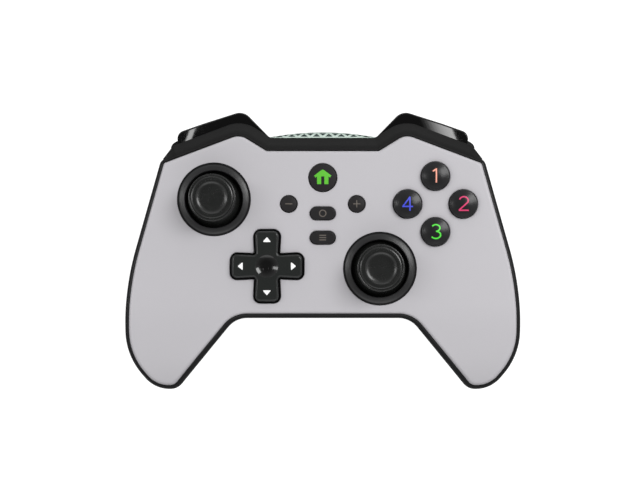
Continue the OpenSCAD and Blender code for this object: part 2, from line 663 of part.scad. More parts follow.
// Rear cover with the trigger bays, the screw posts and the motor cradles.
crown_half = on_slope(slope_len, -3);
crown_far = on_slope(slope_len, 40);
CROWN_CUT = [crown_half, crown_far, flip(crown_far), flip(crown_half)];
module rear_cover() color("#1a1a1a") {
    for (s = [-1, 1]) shoulder_frame(s) trigger_stop();
    difference() {
        rear_body();
        difference() {
            rear_cavity();
            for (s = [-1, 1]) shoulder_frame(s) bay(bay_wall);
            for (p = SCREWS) translate([p.x, p.y, -2]) cylinder(r = post_r, h = screw_joint_z + 2);
            for (s = [-1, 1]) motor_place(s) for (x = [cradle_in, motor_len - cradle_in - cradle_w])
                translate([x, -motor_r, -motor_z]) cube([cradle_w, 2 * motor_r, motor_z - cradle_low]);
        }
        for (s = [-1, 1]) {
            shoulder_frame(s) {
                bay(0);
                along_pin(-pin_reach - fit, pin_reach + fit) circle(r = trigger_pin_r + fit);
            }
            motor_place(s) rotate([0, 90, 0]) cylinder(r = motor_r + fit, h = motor_len + 0.2);
            switch_place(s) translate([0, 0, switch_h / 2]) rotate([-90, 0, 0])
                cylinder(r = plunger_r + slack, h = 12);
        }
        for (p = SCREWS) translate([p.x, p.y, 0]) {
            translate([0, 0, -10]) cylinder(r = screw_head_r + slack, h = screw_head_z + 10);
            cylinder(r = screw_r + screw_way, h = screw_joint_z + 1);
        }
        translate([0, 0, crown_z]) linear_extrude(face_z) polygon(CROWN_CUT);
        usb_place() translate([0, 0, -usb_len]) linear_extrude(usb_len + 20) usb_outline(slack);
        translate([-bay_reach * 4, -bay_reach * 4, -bay_reach]) cube(bay_reach * [8, 8, 1]);
    }
}

module case_screws() color("gray") {
    for (p = SCREWS) translate([p.x, p.y, screw_head_z]) {
        translate([0, 0, -screw_head_h]) cylinder(r = screw_head_r, h = screw_head_h);
        cylinder(r = screw_r, h = screw_joint_z - screw_head_z + screw_reach);
    }
}

module board_screws() color("gray") {
    for (p = BOARD_SCREWS) translate([p.x, p.y, board_z - board_t]) {
        translate([0, 0, -board_screw_head_h]) cylinder(r = board_screw_head_r, h = board_screw_head_h);
        cylinder(r = board_screw_r, h = board_t + board_screw_bite);
    }
}

// Thumbsticks. Everything in a stick is placed from its pivot.
pivot_z = face_z - 9;
dome_r = ring_hole_r + 1.4;
dome_t = 1.2;
dome_gap = 0.35;
ring_flange = 0.9;
cap_top = face_z + cap_h - pivot_z;
function stick_xy(side) = side < 0 ? [left_stick_x, left_stick_y] : [right_stick_x, right_stick_y];
module stick_at(side) { translate(stick_xy(side)) children(); }
module stick_place(side) { translate([each stick_xy(side), pivot_z]) children(); }
function arc_points(r, a0, a1, n) = [for (k = [0 : n]) let (a = mix(a0, a1, k / n)) [r * sin(a), r * cos(a)]];

module stick_ring(side) color("#55565a") {
    f = face_z - pivot_z;
    h = 0.8;
    brow = 0.75;
    slope_fall = 1.6;
    low = f - front_wall - 0.8;
    lip_low = sqrt(pow(dome_r + dome_gap, 2) - pow(ring_hole_r, 2));
    stick_place(side) rotate_extrude() polygon([
        [ring_hole_r, lip_low], [ring_hole_r + 1.1, low], [ring_r - ring_flange, low],
        [ring_r - ring_flange, f], [ring_r, f], [ring_r, f + h - 0.35], [ring_r - 0.35, f + h],
        [ring_r - brow, f + h], [ring_hole_r, max(f + h - slope_fall, lip_low + 0.5)]]);
}

lever_r = 1.5;
lever_low_r = 0.85;
lever_top = cap_top - 4.2;
housing_floor_z = board_z - pivot_z;
housing_floor_t = 1;
lever_foot = housing_floor_z + housing_floor_t + stick_click + 0.1;
module thumbstick(side) color("#222222") {
    neck_r = 4.4;
    skirt_a = asin(ring_hole_r / dome_r) + stick_lean + 0.3;
    dish_r = cap_r - 2.5;
    dish_d = 1.1;
    dish_power = 8;
    rim_w = 0.6;
    rim_h = 0.6;
    side_h = 2.8;
    belly_w = 1.4;
    belly_h = 1.6;
    core_r = 3;
    core_low = 6.6;
    dish = [for (k = [0 : 6]) let (s = 1 - pow(1 - k / 6, 2)) [dish_r * s, dish_d * (pow(s, dish_power) - 1)]];
    brim = [for (a = [0 : 22.5 : 90]) [cap_r - rim_w * (1 - sin(a)), rim_h * (cos(a) - 1)]];
    belly = [for (a = [0 : 30 : 90]) [cap_r - belly_w * (1 - cos(a)), -rim_h - side_h - belly_h * sin(a)]];
    neck = [[neck_r, -6.4], [neck_r, sqrt(pow(dome_r, 2) - pow(neck_r, 2)) + 0.3 - cap_top]];
    stick_place(side) rotate_extrude() polygon(concat(
        [for (p = concat(dish, brim, belly, neck)) [p.x, cap_top + p.y]],
        arc_points(dome_r, asin(neck_r / dome_r) + 3, skirt_a, 10),
        arc_points(dome_r - dome_t, skirt_a, asin(core_r / (dome_r - dome_t)), 8),
        [[core_r, core_low], [lever_r + fit, core_low], [lever_r + fit, lever_top + 0.1],
         [0, lever_top + 0.1]]));
}

module stick_lever(side) color("silver") {
    step_z = 2.6;
    stick_place(side) {
        translate([0, 0, lever_foot]) cylinder(r = lever_low_r, h = step_z + 0.8 - lever_foot);
        translate([0, 0, step_z]) cylinder(r = lever_r, h = lever_top - step_z);
    }
}

// Sleeve on the gimbal's cross pins; the lever slides in it for the click.
sleeve_r = 1.35;
sleeve_pin_r = 0.6;
gimbal_r = 2.4;
module stick_sleeve(side) color("gold") {
    stick_place(side) difference() {
        union() {
            translate([0, 0, -2]) cylinder(r = sleeve_r, h = 4);
            rotate([90, 0, 0]) cylinder(r = sleeve_pin_r, h = 2 * gimbal_r - 0.1, center = true);
        }
        translate([0, 0, -5]) cylinder(r = lever_low_r + fit, h = 10);
    }
}

box_half = 6.5;
box_wall = 0.8;
stub_r = 1;
module stick_gimbal(side) color("#dddddd") {
    stick_place(side) difference() {
        union() {
            rotate([0, 90, 0]) cylinder(r = gimbal_r, h = 9, center = true);
            rotate([0, 90, 0]) cylinder(r = stub_r, h = 2 * box_half - 0.2, center = true);
        }
        cube([6.8, 2 * sleeve_r + 0.5, 20], center = true);
        rotate([90, 0, 0]) cylinder(r = sleeve_pin_r + run, h = 10, center = true);
    }
}

// Follower arch over the gimbal: it leans with the lever to one side only.
arch_in = 3.9;
arch_out = 5;
module stick_arch(side) color("#dddddd") {
    half_w = 2.9;
    stick_place(side) difference() {
        union() {
            rotate([0, 90, 0]) cylinder(r = arch_out, h = 2 * half_w, center = true);
            rotate([90, 0, 0]) cylinder(r = stub_r, h = 2 * box_half - 0.2, center = true);
        }
        rotate([0, 90, 0]) cylinder(r = arch_in, h = 20, center = true);
        translate([-10, -10, -11.2]) cube([20, 20, 10]);
        cube([2 * lever_r + 0.6, 7, 20], center = true);
    }
}

module stick_housing(side) color("#a8a8a8") {
    low = housing_floor_z;
    top_z = 3.5;
    sensor = [2.8, 8, 2.5 - low];
    hollow = 2 * (box_half - box_wall);
    stick_place(side) difference() {
        union() {
            translate([-box_half, -box_half, low]) cube([2 * box_half, 2 * box_half, top_z - low]);
            for (a = [0, 90]) rotate(a) translate([box_half - 0.1, -sensor.y / 2, low]) cube(sensor);
        }
        translate([-hollow / 2, -hollow / 2, low + housing_floor_t]) cube([hollow, hollow, 20]);
        rotate([0, 90, 0]) cylinder(r = stub_r + run, h = 2 * box_half, center = true);
        rotate([90, 0, 0]) cylinder(r = stub_r + run, h = 2 * box_half, center = true);
    }
}

// Direction cross: flared arms with round corners, a flange under the face and ears on the rocker.
cross_root = 4.35;
cross_h = 2.3;
function closed_outline(c, o) = let (n = len(c))
    joined([for (i = [0 : n - 1]) corner_arc(c[(i + n - 1) % n], c[i], c[(i + 1) % n], o)]);
function spun(p, a) = [p.x * cos(a) - p.y * sin(a), p.x * sin(a) + p.y * cos(a)];
CROSS_ARM = [[cross_span / 2, -cross_arm / 2, 2], [cross_span / 2, cross_arm / 2, 2],
             [cross_root, cross_root, 1.2]];
CROSS = [for (k = [0 : 3], p = CROSS_ARM) [each spun(p, 90 * k), p[2], 3]];
function cross_outline(o) = closed_outline(CROSS, o);
rocker_z = face_z - 7.4;
rocker_r = 1.5;
rocker_pin_r = 1;
rocker_half = 4.5;
cross_flange_r = cross_span / 2 + cross_gap + 1;
cross_flange_t = 1.2;
flange_low = face_z - front_wall - slack - cross_flange_r * sin(cross_rock) * sqrt(2) - cross_flange_t;
cross_pad = 9.5;
module cross_place() { translate([cross_x, cross_y, 0]) children(); }

module direction_cross() color("#2a2c2b") {
    stem_r = 2;
    ear = [4.4, 2, flange_low - rocker_z + 2.4];
    ear_y = 3.7;
    dish_r = 12;
    dish_d = 0.85;
    top = face_z + cross_h;
    levels = [[-0.7, top], [-0.2, top - 0.25], [0, top - 0.8], [0, flange_low]];
    cross_place() difference() {
        union() {
            star_loft([for (l = levels) [for (p = cross_outline(l[0])) [p.x, p.y, l[1]]]]);
            translate([0, 0, flange_low]) cylinder(r = cross_flange_r, h = cross_flange_t);
            for (k = [0 : 3]) rotate(90 * k) translate([cross_pad, 0, dome_top + 0.1])
                cylinder(r = stem_r, h = flange_low - dome_top);
            for (s = [-1, 1]) translate([-ear.x / 2, s * ear_y - ear.y / 2, rocker_z - 1.9]) cube(ear);
        }
        translate([0, 0, top + dish_r - dish_d]) sphere(r = dish_r, $fn = 96);
        translate([0, 0, rocker_z]) rotate([90, 0, 0])
            cylinder(r = rocker_pin_r + run, h = 12, center = true);
    }
}

// A skin through star-shaped rings about the middle, from the top down.
module star_loft(rings) {
    n = len(rings[0]);
    m = len(rings);
    sides = [for (r = [0 : m - 2], i = [0 : n - 1]) let (j = (i + 1) % n)
        each [[r * n + i, r * n + j, (r + 1) * n + j], [r * n + i, (r + 1) * n + j, (r + 1) * n + i]]];
    roof = [for (i = [0 : n - 1]) [(i + 1) % n, i, n * m]];
    base = [for (i = [0 : n - 1]) [(m - 1) * n + i, (m - 1) * n + (i + 1) % n, n * m + 1]];
    tips = [[0, 0, rings[0][0].z], [0, 0, rings[m - 1][0].z]];
    polyhedron(concat(joined(rings), tips), concat(sides, roof, base));
}

module cross_rocker() color("gold") {
    cross_place() translate([0, 0, rocker_z]) {
        rotate([0, 90, 0]) cylinder(r = rocker_r, h = 2 * rocker_half, center = true);
        rotate([90, 0, 0]) cylinder(r = rocker_pin_r, h = 9.2, center = true);
    }
}

module cross_post() color("#303030") {
    post = [2 * rocker_half - 0.4, 4.4, rocker_z - board_z];
    cross_place() difference() {
        translate([-post.x / 2, -post.y / 2, board_z]) cube(post);
        translate([0, 0, rocker_z]) {
            rotate([0, 90, 0]) cylinder(r = rocker_r + run, h = 20, center = true);
            rotate([90, 0, 0]) cylinder(r = rocker_pin_r + 0.4, h = 20, center = true);
        }
    }
}

// Buttons: a cap through the face, a flange that keeps it in and a stem on its rubber dome.
dome_top = board_z + 4.6;
flange_top = face_z - front_wall - 0.2;
flange_t = 1.1;
flange_w = 1.1;
stem_r = 2.2;
function cap_profile(r, h, crown) = concat([[0, face_z + h]],
    [for (k = [1 : 5]) let (s = k / 5) [(r - 0.5) * s, face_z + h - crown * s * s]],
    [[r - 0.12, face_z + h - crown - 0.2], [r, face_z + h - crown - 0.6]]);
module round_button(r, h, crown) {
    rotate_extrude() polygon(concat(cap_profile(r, h, crown),
        [[r, flange_top], [r + flange_w, flange_top], [r + flange_w, flange_top - flange_t],
         [stem_r, flange_top - flange_t], [stem_r, dome_top + 0.1], [0, dome_top + 0.1]]));
}

function action_xy(k) = [action_x, action_y] + action_pitch * [cos(90 * k), sin(90 * k)];
module action_at(k) { translate(action_xy(k)) children(); }
module action_button(k) color("#3a3a3d") action_at(k) round_button(action_r, action_h, 0.9);
module home_button() color("#26282a") translate([0, home_y]) round_button(home_r, small_h, 0.35);
module sign_button(side) color("#303033") translate([side * sign_x, sign_y])
    round_button(sign_r, small_h, 0.3);

module oblong(o) {
    half = (oblong_w - oblong_d) / 2;
    r = oblong_d / 2 + o;
    square([2 * half, 2 * r], center = true);
    for (s = [-1, 1]) translate([s * half, 0]) circle(r = r);
}

module oblong_button(y) color("#2d2c2d") translate([0, y, 0]) {
    bevel = 0.35;
    low = flange_top - flange_t;
    top = face_z + small_h;
    translate([0, 0, low]) linear_extrude(top - bevel - low) oblong(0);
    translate([0, 0, top - bevel - 0.01]) linear_extrude(bevel + 0.01) oblong(-bevel);
    translate([0, 0, low]) linear_extrude(flange_t) oblong(flange_w);
    translate([0, 0, dome_top + 0.1]) cylinder(r = stem_r, h = low - dome_top);
}

// Rubber membranes: a sheet on the board with a hollow dome under each button. The roof of the
// hollow stands above the board by the button's travel, so that it lands at the end of a press.
sheet_t = 1;
module membrane(places, pad_r, dome_out, travel) {
    mid = [for (i = [0, 1]) (max([for (p = places) p[i]]) + min([for (p = places) p[i]])) / 2];
    wall = 0.95;
    key_r = 2.6;
    key_low = 3.2;
    key_top = dome_top - board_z;
    translate([0, 0, board_z]) linear_extrude(sheet_t) difference() {
        union() {
            for (p = places) translate(p) circle(r = pad_r);
            for (p = places) strap(mid, p, pad_r * 0.7);
        }
        for (p = places) translate(p) circle(r = dome_out - wall + fit);
    }
    for (p = places) translate([p.x, p.y, board_z]) rotate_extrude() polygon([
        [dome_out - wall, 0], [dome_out, 0], [dome_out, sheet_t], [key_r, key_low], [key_r, key_top],
        [0, key_top], [0, travel], [key_r - 0.7, travel], [dome_out - wall, sheet_t - 0.1]]);
}

module strap(a, b, r) {
    d = b - a;
    l = norm(d);
    if (l > 0) translate(a) rotate(atan2(d.y, d.x)) translate([0, -r]) square([l, 2 * r]);
}

module action_membrane() color("#b9b9b4")
    membrane([for (k = [0 : 3]) action_xy(k)], action_r - 0.6, action_r * 0.75, action_travel);
module cross_membrane() color("#b9b9b4") difference() {
    pads = [for (k = [0 : 3]) [cross_x, cross_y] + cross_pad * [cos(90 * k), sin(90 * k)]];
    window = [10, 5.6, 3];
    membrane(pads, cross_arm / 2 + 0.15, cross_arm / 2 - 1.05, cross_pad * sin(cross_rock) * sqrt(2));
    cross_place() translate([-window.x / 2, -window.y / 2, board_z - 1]) cube(window);
}
module centre_membrane() color("#b9b9b4") membrane(
    [[0, home_y], [-sign_x, sign_y], [sign_x, sign_y], [0, upper_oblong_y], [0, lower_oblong_y]],
    sign_r + 0.75, sign_r - 0.05, small_travel);

// Main board: it follows the face without the grips and clears the screw bosses.
CHIPS = [[-30, 18, 8], [26, 22, 7], [-34, -6, 5]];
module main_board() color("#205a38") {
    keep_x = 57;
    keep_y = 100;
    inset = 3.2;
    low_y = lower_edge_y + inset + 0.2;
    translate([0, 0, board_z - board_t]) linear_extrude(board_t) difference() {
        intersection() {
            polygon(ring(-inset));
            translate([-keep_x, low_y]) square([2 * keep_x, keep_y]);
        }
        for (p = SCREWS) translate([p.x, p.y]) circle(r = post_r + 0.6);
        for (p = BOARD_SCREWS) translate([p.x, p.y]) circle(r = board_screw_r + 0.1);
    }
    for (c = CHIPS) translate([c.x - c.z / 2, c.y - c.z / 2, board_z - board_t - 1]) cube([c.z, c.z, 1.05]);
}

module battery() color("#8d99a6") {
    y0 = 4;
    r = 2.5;
    box = [for (c = [[1, -1], [1, 1], [-1, 1], [-1, -1]])
        [c.x * battery_w / 2, y0 + c.y * battery_d / 2, r, 4]];
    translate([0, 0, board_z - board_t - battery_t]) linear_extrude(battery_t)
        polygon(closed_outline(box, 0));
}

// Charging port under the board, facing out below the light panel.
usb_w = 8.94;
usb_t = 3.26;
usb_wall = 0.3;
usb_len = 7.4;
usb_mouth = bridge_y + 0.4;
usb_tongue = [6.6, 0.7, usb_len - 0.8];
module usb_place() {
    translate([0, usb_mouth, board_z - board_t - usb_t / 2]) rotate([-90, 0, 0]) children();
}
module usb_outline(o) {
    half = (usb_w - usb_t) / 2;
    r = usb_t / 2 + o;
    square([2 * half, 2 * r], center = true);
    for (s = [-1, 1]) translate([s * half, 0]) circle(r = r);
}
module usb_c_port() color("silver") usb_place() translate([0, 0, -usb_len]) {
    linear_extrude(usb_len) difference() {
        usb_outline(0);
        usb_outline(-usb_wall);
    }
    linear_extrude(1) usb_outline(0);
    translate([-usb_tongue.x / 2, -usb_tongue.y / 2, 0]) cube(usb_tongue);
}

// Bumper switches stand on the board's edge, with a plunger through the rear wall.
switch_h = 3.4;
plunger_r = 1.1;
switch_in = 3.3;
module switch_place(side) {
    mirrored(side) translate([each on_slope(bumper_len - 1.5, -switch_in), board_z])
        rotate(shoulder_turn) children();
}
module bumper_switch(side) color("#404040") switch_place(side) {
    reach = bumper_back + switch_in - bumper_len * sin(bumper_swing) - 0.4;
    case_size = [6, 2.7, switch_h];
    translate([-case_size.x / 2, -case_size.y, 0]) cube(case_size);
    translate([0, -0.1, switch_h / 2]) rotate([-90, 0, 0]) cylinder(r = plunger_r, h = reach + 0.1);
}

// Rumble motors lie in the grips, each with a half disc on its shaft.
motor_z = 15;
motor_at = [61.5, -33];
motor_turn = 109.6;
shaft_r = 1;
cradle_w = 3;
cradle_in = 1.5;
cradle_low = motor_r * 0.4;
module motor_place(side) {
    mirrored(side) translate([motor_at.x, motor_at.y, motor_z]) rotate(motor_turn) children();
}
module rumble_motor(side) color("silver") motor_place(side) rotate([0, 90, 0]) difference() {
    union() {
        translate([0, 0, 0.1]) cylinder(r = motor_r, h = motor_len - 0.1);
        translate([0, 0, motor_len - 0.1]) cylinder(r = 2.5, h = 0.9);
    }
    translate([0, 0, motor_len - 6]) cylinder(r = shaft_r + run, h = 10);
}

module motor_weight(side) color("gray") motor_place(side) {
    gap = 1.2;
    t = 6.5;
    rotate([0, 90, 0]) translate([0, 0, motor_len - 5.5]) cylinder(r = shaft_r, h = 5.5 + gap + t + 0.5);
    translate([motor_len + gap, 0, 0]) intersection() {
        rotate([0, 90, 0]) cylinder(r = weight_r, h = t);
        translate([-1, -weight_r - 1, -weight_r - 1]) cube([t + 2, 2 * weight_r + 2, weight_r + 1 + shaft_r]);
    }
}

front_cover();
rear_cover();
shoulder_bridge();
light_panel();
light_diffuser();
light_board();
case_screws();
board_screws();
bumper(-1);  // left_bumper
bumper(1);  // right_bumper
trigger(-1);  // left_trigger
trigger(1);  // right_trigger
trigger_pin(-1);  // left_trigger_pin
trigger_pin(1);  // right_trigger_pin
trigger_spring(-1);  // left_trigger_spring
trigger_spring(1);  // right_trigger_spring
bumper_switch(-1);  // left_bumper_switch
bumper_switch(1);  // right_bumper_switch
stick_ring(-1);  // left_stick_ring
stick_ring(1);  // right_stick_ring
thumbstick(-1);  // left_thumbstick
thumbstick(1);  // right_thumbstick
stick_lever(-1);  // left_stick_lever
stick_lever(1);  // right_stick_lever
stick_sleeve(-1);  // left_stick_sleeve
stick_sleeve(1);  // right_stick_sleeve
stick_gimbal(-1);  // left_stick_gimbal
stick_gimbal(1);  // right_stick_gimbal
stick_arch(-1);  // left_stick_arch
stick_arch(1);  // right_stick_arch
stick_housing(-1);  // left_stick_housing
stick_housing(1);  // right_stick_housing
direction_cross();
cross_rocker();
cross_post();
action_button(1);  // action_button_top
action_button(2);  // action_button_left
action_button(0);  // action_button_right
action_button(3);  // action_button_bottom
home_button();
sign_button(-1);  // minus_button
sign_button(1);  // plus_button
oblong_button(upper_oblong_y);  // upper_oblong_button
oblong_button(lower_oblong_y);  // lower_oblong_button
action_membrane();
cross_membrane();
centre_membrane();
main_board();
battery();
usb_c_port();
rumble_motor(-1);  // left_rumble_motor
rumble_motor(1);  // right_rumble_motor
motor_weight(-1);  // left_motor_weight
motor_weight(1);  // right_motor_weight
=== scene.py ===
"""Looks of a two-grip gamepad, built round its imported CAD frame.

Lengths in the classes are millimetres, in the CAD frame: +Z comes out of the face, +Y points to the
shoulder side and z = 0 is the table. They become metres when a skin is made into a mesh.
"""

import json
import logging
import math
from collections.abc import Callable
from dataclasses import dataclass, field
from enum import Enum

import bpy
import numpy as np
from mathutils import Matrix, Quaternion, Vector
from mathutils.geometry import delaunay_2d_cdt

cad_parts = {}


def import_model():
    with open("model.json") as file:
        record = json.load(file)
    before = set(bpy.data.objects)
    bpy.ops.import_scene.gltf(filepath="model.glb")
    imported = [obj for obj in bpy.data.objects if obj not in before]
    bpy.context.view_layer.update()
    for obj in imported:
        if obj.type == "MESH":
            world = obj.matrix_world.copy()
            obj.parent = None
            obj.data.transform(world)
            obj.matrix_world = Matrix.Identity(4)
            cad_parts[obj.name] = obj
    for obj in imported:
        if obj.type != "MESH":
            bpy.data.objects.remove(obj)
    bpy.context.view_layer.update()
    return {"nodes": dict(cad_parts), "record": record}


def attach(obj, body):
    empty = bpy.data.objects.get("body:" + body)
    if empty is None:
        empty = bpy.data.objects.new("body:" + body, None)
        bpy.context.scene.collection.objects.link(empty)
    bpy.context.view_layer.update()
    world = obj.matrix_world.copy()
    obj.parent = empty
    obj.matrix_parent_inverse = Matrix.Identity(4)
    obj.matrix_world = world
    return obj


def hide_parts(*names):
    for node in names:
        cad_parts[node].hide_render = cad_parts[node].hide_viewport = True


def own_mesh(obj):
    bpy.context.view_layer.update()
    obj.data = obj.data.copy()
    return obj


LOG = logging.getLogger("gamepad")
MM = 0.001
INSIDE_LOOPS = 1
WINDOW_MAP = "window"
LEAST_RADIUS = 0.1

Array = np.ndarray
Point = tuple[float, float]
Place = tuple[float, float, float]
Colour = tuple[float, float, float, float]
Socket = bpy.types.NodeSocket


class Side(Enum):
    """Left and right half of the pad, as the sign of x."""

    LEFT = -1
    RIGHT = 1

    @property
    def word(self) -> str:
        """The side's name as it stands in node and body names."""
        return self.name.lower()


# Plane and surface helpers

def unit(v: Array) -> Array:
    """The vector v at length one."""
    return v / np.linalg.norm(v)


def mix(a: Array, b: Array, t: Array | float) -> Array:
    """Goes from a at t = 0 to b at t = 1 in a straight line."""
    return a * (1 - t) + b * t


def right_of(v: Array) -> Array:
    """The plane vector v turned a quarter clockwise."""
    return np.array([v[1], -v[0]])


def cross_2d(a: Array, b: Array) -> float:
    """The upright part of the cross product of two plane vectors."""
    return float(a[0] * b[1] - a[1] * b[0])


def mitre(n1: Array, n2: Array) -> Array:
    """How far a corner moves when its two edges, which have these normals, move out by one."""
    return (n1 + n2) / (1 + n1 @ n2)


def corner_arc(before: Array, corner: Array, after: Array, radius: float,
               offset: float, steps: int) -> Array:
    """Rounds a corner between two edges that have been moved out by an offset.

    The arc's radius grows by the offset on an outside corner and shrinks on an inside one. Its
    middle lies on the mitre line, and the angle runs evenly from one edge's normal to the other's.

    Args:
        before: Plane point before the corner.
        corner: The sharp corner.
        after: Plane point after the corner.
        radius: Rounding at offset zero.
        offset: Distance out to the right of the way along the chain.
        steps: Number of pieces that the arc has.

    Returns:
        Plane points of the arc, as an array of shape (steps + 1, 2).
    """
    n1 = right_of(unit(corner - before))
    n2 = right_of(unit(after - corner))
    sign = 1.0 if cross_2d(n1, n2) >= 0 else -1.0
    r = max(radius + sign * offset, LEAST_RADIUS)
    middle = corner + mitre(n1, n2) * (offset - sign * r)
    angles = math.atan2(n1[1], n1[0]) + math.atan2(cross_2d(n1, n2), n1 @ n2) * np.linspace(0, 1, steps + 1)
    return middle + sign * r * np.stack([np.cos(angles), np.sin(angles)], axis=1)


def closed_outline(corners: Array, radii: Array, offset: float, steps: int) -> Array:
    """Rounds every corner of a closed plane outline that runs anticlockwise.

    Args:
        corners: Sharp corners, shape (n, 2).
        radii: Rounding of each corner.
        offset: Distance that the outline is moved out.
        steps: Pieces of each arc.

    Returns:
        Plane points of the rounded outline.
    """
    before = np.roll(corners, 1, axis=0)
    after = np.roll(corners, -1, axis=0)
    return np.vstack([corner_arc(b, c, a, r, offset, steps)
                      for b, c, a, r in zip(before, corners, after, radii)])


def circle(centre: Point, radius: float, steps: int = 96) -> Array:
    """Plane points of a circle, anticlockwise."""
    a = np.linspace(0, 2 * np.pi, steps, endpoint=False)
    return np.array(centre) + radius * np.stack([np.cos(a), np.sin(a)], axis=1)


def quarter(start: Point, end: Point, steps: int = 6) -> Array:
    """A quarter ellipse in a profile, which leaves start along the first axis and meets end along the second.

    Args:
        start: First profile point.
        end: Last profile point.
        steps: Pieces of the curve.

    Returns:
        Profile points, shape (steps + 1, 2).
    """
    a = np.linspace(0, np.pi / 2, steps + 1)
    share = np.stack([np.sin(a), 1 - np.cos(a)], axis=1)
    return np.array(start) + share * (np.array(end) - np.array(start))


def raised(plane: Array, height: Array | float) -> Array:
    """Gives plane points a height, as a third coordinate."""
    upright = np.broadcast_to(np.asarray(height, float), plane.shape[:-1])
    return np.concatenate([plane, upright[..., None]], axis=-1)


def inside(points: Array, loop: Array, margin: float) -> Array:
    """Says which plane points lie inside a loop and at least a margin away from it.

    A point is inside where a ray from it crosses the loop an odd number of times.

    Args:
        points: Plane points, shape (n, 2).
        loop: Closed outline, shape (m, 2).
        margin: Least distance to the outline's own points.

    Returns:
        A mask of shape (n,).
    """
    a = loop[None]
    b = np.roll(loop, -1, axis=0)[None]
    p = points[:, None]
    spans = (a[..., 1] > p[..., 1]) != (b[..., 1] > p[..., 1])
    rise = np.where(spans, b[..., 1] - a[..., 1], 1.0)
    x = a[..., 0] + (p[..., 1] - a[..., 1]) / rise * (b[..., 0] - a[..., 0])
    odd = (spans & (p[..., 0] < x)).sum(axis=1) % 2 == 1
    near = np.linalg.norm(p - a, axis=2).min(axis=1) < margin
    return odd & ~near


@dataclass
class Skin:
    """A surface before it becomes a mesh: points in millimetres, and faces as arrays of point numbers."""

    points: Array
    faces: list[Array] = field(default_factory=list)

    def plus(self, *others: "Skin") -> "Skin":
        """Joins this skin and others into one, without merging their points.

        Args:
            others: Skins to add.

        Returns:
            The joined skin.
        """
        points, faces, start = [], [], 0
        for skin in (self, *others):
            points.append(skin.points)
            faces += [f + start for f in skin.faces]
            start += len(skin.points)
        return Skin(np.vstack(points), faces)

    def flipped(self) -> "Skin":
        """The same skin with its faces turned over."""
        return Skin(self.points, [f[:, ::-1] for f in self.faces])

    def mirrored(self, side: Side) -> "Skin":
        """The skin itself on the right side, or its mirror image in x on the left.

        Args:
            side: Side of the pad.

        Returns:
            The skin or its mirror image.
        """
        if side is Side.RIGHT:
            return self
        return Skin(self.points * np.array([-1.0, 1.0, 1.0]), self.faces).flipped()

    def welded(self, tolerance: float = 1e-3) -> "Skin":
        """Merges points that coincide and drops the faces that collapse.

        Args:
            tolerance: Grid to which points are rounded when they are compared.

        Returns:
            A skin of quads, triangles and larger faces with no repeated corners.
        """
        keys = np.round(self.points / tolerance).astype(np.int64)
        _, first, number = np.unique(keys, axis=0, return_index=True, return_inverse=True)
        number = number.reshape(-1)
        kept: list[Array] = []
        for block in self.faces:
            block = number[block]
            same = block == np.roll(block, -1, axis=1)
            whole = ~same.any(axis=1)
            kept.append(block[whole])
            if block.shape[1] == 4:
                once = same.sum(axis=1) == 1
                corners = block[once][~same[once]].reshape(-1, 3)
                clear = (corners[:, 0] != corners[:, 1]) & (corners[:, 1] != corners[:, 2])
                kept.append(corners[clear & (corners[:, 2] != corners[:, 0])])
        return Skin(self.points[first], [b for b in kept if len(b)])

    def outward(self) -> "Skin":
        """Turns a closed skin so that its enclosed volume, summed over its faces, is positive.

        Returns:
            The skin itself, or the same turned over.
        """
        volume = 0.0
        for block in self.faces:
            p = self.points[block]
            for k in range(1, block.shape[1] - 1):
                volume += np.einsum("ij,ij->", p[:, 0], np.cross(p[:, k], p[:, k + 1]))
        return self if volume >= 0 else self.flipped()

    def piece(self, name: str, sharp_deg: float = 35.0) -> bpy.types.Object:
        """Makes the skin a mesh object at the origin, in metres.

        Args:
            name: Name of the piece.
            sharp_deg: Edges that turn by more than this stay sharp.

        Returns:
            The new object, linked into the scene.
        """
        mesh = bpy.data.meshes.new(name)
        mesh.from_pydata((self.points * MM).tolist(), [], [f for block in self.faces for f in block.tolist()])
        mesh.update()
        obj = bpy.data.objects.new(name, mesh)
        smooth(obj, sharp_deg)
        bpy.context.scene.collection.objects.link(obj)
        return obj


def grid_skin(points: Array, around: bool = True, along: bool = False) -> Skin:
    """Joins a grid of points into quads: cell (r, c) has the corners (r, c), (r+1, c), (r+1, c+1), (r, c+1).

    Args:
        points: Grid of shape (rows, columns, 3).
        around: Whether the last column joins the first.
        along: Whether the last row joins the first.

    Returns:
        The skin, whose faces look out where columns run anticlockwise and rows run down.
    """
    rows, columns = points.shape[:2]
    r = np.arange(rows if along else rows - 1)[:, None]
    c = np.arange(columns if around else columns - 1)[None]
    r2, c2 = (r + 1) % rows, (c + 1) % columns
    corners = [r * columns + c, r2 * columns + c, r2 * columns + c2, r * columns + c2]
    quads = np.stack(np.broadcast_arrays(*corners), axis=-1).reshape(-1, 4)
    return Skin(points.reshape(-1, 3), [quads])


def loft_skin(sections: Array) -> Skin:
    """A closed body through equal closed sections, shape (stations, points, 3), with flat ends.

    Args:
        sections: The sections in order.

    Returns:
        The closed skin.
    """
    skin = grid_skin(sections)
    n = sections.shape[1]
    ends = [np.arange(n)[None], (len(sections) - 1) * n + np.arange(n)[None, ::-1]]
    return Skin(skin.points, skin.faces + ends).outward()


def prism_skin(outline: Array, low: float, high: float) -> Skin:
    """A plane outline drawn up from one height to another."""
    return loft_skin(np.stack([raised(outline, high), raised(outline, low)]))


def turned(profile: Array, centre: Point, steps: int) -> Array:
    """Grid of a profile of (radius, height) turned about an upright axis: x = r cos a, y = r sin a, z = h.

    Args:
        profile: Profile points.
        centre: Place of the axis.
        steps: Points of each circle.

    Returns:
        The grid, shape (profile points, steps, 3).
    """
    a = np.linspace(0, 2 * np.pi, steps, endpoint=False)
    r, z = profile[:, :1], profile[:, 1:]
    return np.stack([centre[0] + r * np.cos(a), centre[1] + r * np.sin(a), z + 0 * a], axis=-1)


